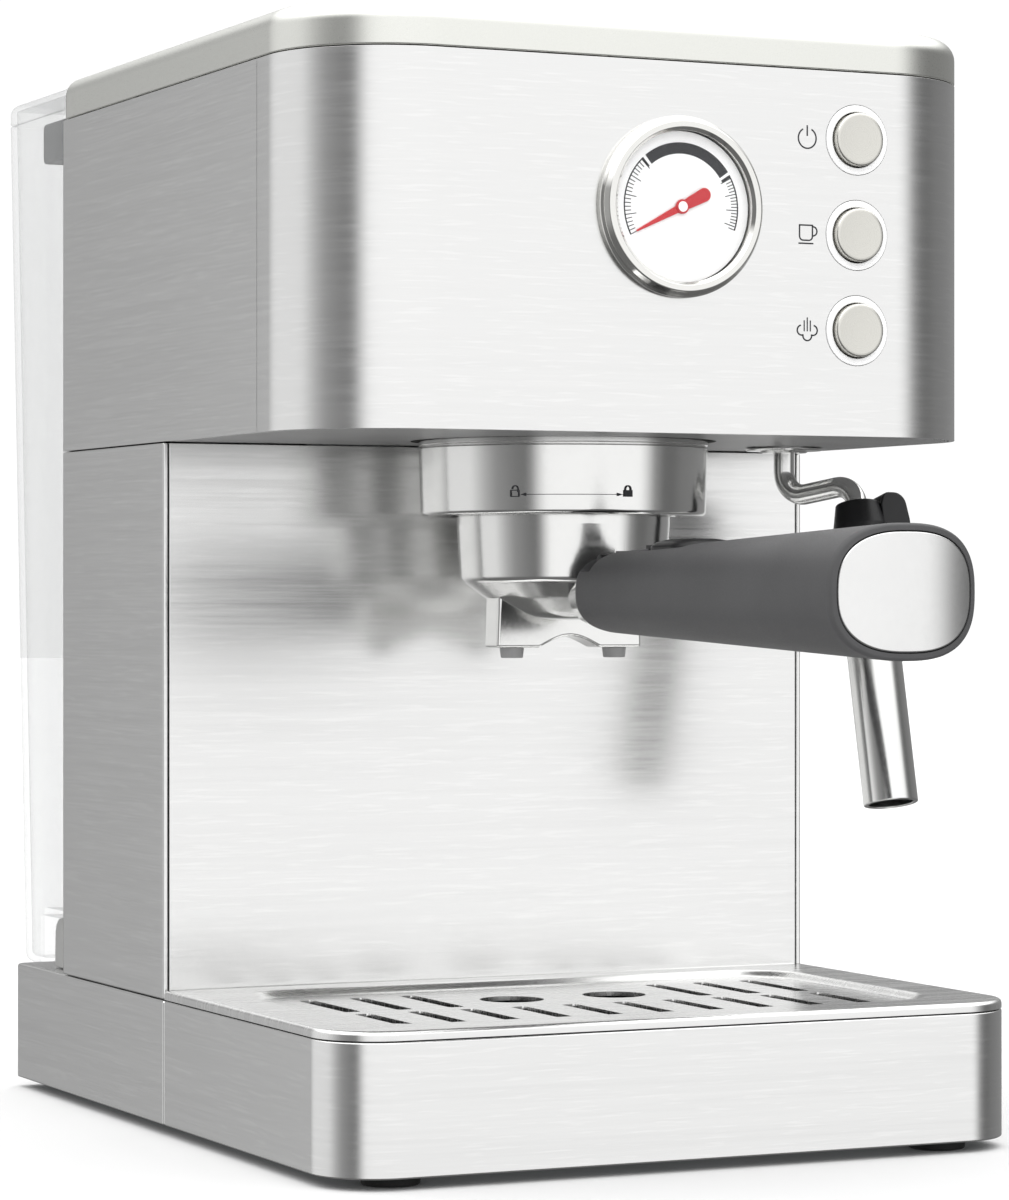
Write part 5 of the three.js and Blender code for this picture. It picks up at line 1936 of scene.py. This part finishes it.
class PaintInside(bpy.types.Operator):
    """Gives the inner CAD pieces their finishes."""

    bl_idname = "espresso.inside"
    bl_label = "Inner pieces"

    FINISH_OF = {
        "support_frame": "inner_steel",
        "thermoblock": "cast_aluminium",
        "solenoid_valve": "brass",
        "pump_body": "black_plastic",
        "pump_piston": "polished_steel",
        "suction_hose": "hose",
        "pressure_hose": "hose",
        "steam_valve_body": "brass",
        "steam_pipe": "polished_steel",
        "control_board": "circuit_board",
        "power_board": "circuit_board",
        "group_gasket": "rubber",
        "shower_screen": "polished_steel",
        "valve_stem": "brass",
    }

    def execute(self, context):
        for node, finish in self.FINISH_OF.items():
            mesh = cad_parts[node].data
            if mesh.materials:
                for i in range(len(mesh.materials)):
                    mesh.materials[i] = finishes[finish]
            else:
                mesh.materials.append(finishes[finish])
        return {"FINISHED"}


# ---- Stage ----


class BuildStage(bpy.types.Operator):
    """Builds the floor, the soft studio light and the camera."""

    bl_idname = "espresso.stage"
    bl_label = "Stage"

    CAMERA_PLACE = Vector((-503.13, -1080.66, 148.84))  # millimetres about the machine's zero
    CAMERA_LOOK = Vector((0.4245, 0.9054, 0))

    # Brightness of the soft light by compass bearing, in degrees anticlockwise from +X: a wide
    # box in front, a narrower one to the left rear, and grey between them.
    BEARINGS = (
        (0, 0.19),
        (37, 0.24),
        (65, 0.23),
        (90, 0.25),
        (104, 0.27),
        (112, 0.36),
        (118, 0.60),
        (124, 0.76),
        (165, 0.76),
        (172, 0.60),
        (180, 0.43),
        (190, 0.28),
        (205, 0.20),
        (214, 0.165),
        (219, 0.28),
        (225, 0.70),
        (231, 0.99),
        (308, 0.99),
        (314, 0.74),
        (322, 0.28),
        (332, 0.14),
        (342, 0.14),
        (352, 0.18),
    )

    def execute(self, context):
        scene = context.scene
        studio = scene.espresso_studio
        self.build_floor(studio)
        self.build_light(scene, studio)
        data = bpy.data.cameras.new("Camera")
        camera = bpy.data.objects.new("Camera", data)
        scene.collection.objects.link(camera)
        data.lens = studio.lens
        data.sensor_width = 36
        data.shift_y = studio.shift
        data.clip_end = 50
        camera.location = MACHINE_ZERO + self.CAMERA_PLACE / 1000
        camera.rotation_euler = self.CAMERA_LOOK.to_track_quat("-Z", "Y").to_euler()
        scene.camera = camera
        scene.view_settings.view_transform = "Standard"
        return {"FINISHED"}

    def build_floor(self, studio):
        mesh = bpy.data.meshes.new("floor")
        points = level(circle(9.0, 96), 0)
        mesh.from_pydata(points, [], [tuple(range(len(points)))])
        finish = Finish("Pale floor")
        speckle = finish.noise(6.0, 2.0)
        tone = tuple(studio.floor)
        finish.mottle(speckle, shade(tone, 0.99), tone)
        finish.set(Roughness=0.9, Specular_IOR_Level=0.1)
        mesh.materials.append(finish.material)
        floor = bpy.data.objects.new("floor", mesh)
        bpy.context.scene.collection.objects.link(floor)
        floor.visible_glossy = False

    def build_light(self, scene, studio):
        world = bpy.data.worlds.new("Studio")
        scene.world = world
        world.use_nodes = True
        world.node_tree.nodes.clear()
        maker = NodeMaker(world.node_tree)
        add = maker.add
        coordinate = add("ShaderNodeTexCoord", output="Generated")
        way = add("ShaderNodeSeparateXYZ", {0: coordinate}).node.outputs
        bearing = add("ShaderNodeMath", {0: way["Y"], 1: way["X"]}, operation="ARCTAN2")
        turn = add("ShaderNodeMath", {0: bearing, 1: 1 / math.tau}, operation="MULTIPLY")
        share = add("ShaderNodeMath", {0: turn}, operation="FRACT")
        ramp = add("ShaderNodeValToRGB", {0: share})
        stops = ramp.node.color_ramp.elements
        first = self.BEARINGS[0][1]
        stops[0].position, stops[0].color = 0.0, (first, first, first, 1)
        stops[1].position, stops[1].color = 1.0, (first, first, first, 1)
        for degrees, value in self.BEARINGS[1:]:
            stops.new(degrees / 360).color = (value, value, value, 1)
        around = add("ShaderNodeMath", {0: ramp, 1: studio.around}, operation="MULTIPLY")
        high = add("ShaderNodeMapRange", {0: way["Z"], 1: 0.34, 2: 0.62, 3: 0.0, 4: 1.0})
        low = add("ShaderNodeMapRange", {0: way["Z"], 1: -0.16, 2: -0.45, 3: 0.0, 4: 1.0})
        above = add("ShaderNodeMix", {0: high, 2: around, 3: studio.overhead}, data_type="FLOAT")
        light = add("ShaderNodeMix", {0: low, 2: above, 3: studio.below}, data_type="FLOAT")
        seen = add("ShaderNodeLightPath", output="Is Camera Ray")
        white = (1, 1, 1, 1)
        lit = add("ShaderNodeBackground", {"Color": white, "Strength": light})
        plain = add("ShaderNodeBackground", {"Color": white, "Strength": 1.05})
        mixed = add("ShaderNodeMixShader", {0: seen, 1: lit, 2: plain})
        maker.links.new(mixed, maker.nodes.new("ShaderNodeOutputWorld").inputs["Surface"])


# ---- Panel and registration ----

SETTINGS = {
    "espresso_casing": CasingSettings,
    "espresso_tray": TraySettings,
    "espresso_gauge": GaugeSettings,
    "espresso_knob": KnobSettings,
    "espresso_handle": HandleSettings,
    "espresso_studio": StudioSettings,
}
BUILDERS = (
    BuildBase,
    BuildColumn,
    BuildHead,
    BuildTray,
    BuildGroup,
    BuildPortafilter,
    BuildHandle,
    BuildWand,
    BuildKnob,
    BuildGauge,
    BuildButtons,
    BuildTank,
    PaintInside,
    BuildStage,
)


class EspressoPanel(bpy.types.Panel):
    """Lists the machine's settings and the operators that build its pieces."""

    bl_idname = "VIEW3D_PT_espresso"
    bl_label = "Espresso Machine"
    bl_space_type = "VIEW_3D"
    bl_region_type = "UI"
    bl_category = "Espresso"

    def draw(self, context):
        for name in SETTINGS:
            group = self.layout.box()
            settings = getattr(context.scene, name)
            for key in settings.__annotations__:
                group.prop(settings, key)
        for builder in BUILDERS:
            self.layout.operator(builder.bl_idname)


def register():
    for name, group in SETTINGS.items():
        bpy.utils.register_class(group)
        setattr(bpy.types.Scene, name, PointerProperty(type=group))
    for builder in BUILDERS:
        bpy.utils.register_class(builder)
    bpy.utils.register_class(EspressoPanel)


def unregister():
    bpy.utils.unregister_class(EspressoPanel)
    for builder in reversed(BUILDERS):
        bpy.utils.unregister_class(builder)
    for name, group in SETTINGS.items():
        delattr(bpy.types.Scene, name)
        bpy.utils.unregister_class(group)


def main():
    register()
    finishes.update(make_finishes(bpy.context.scene))
    for builder in BUILDERS:
        group, name = builder.bl_idname.split(".")
        getattr(getattr(bpy.ops, group), name)()


if __name__ == "__main__":
    main()
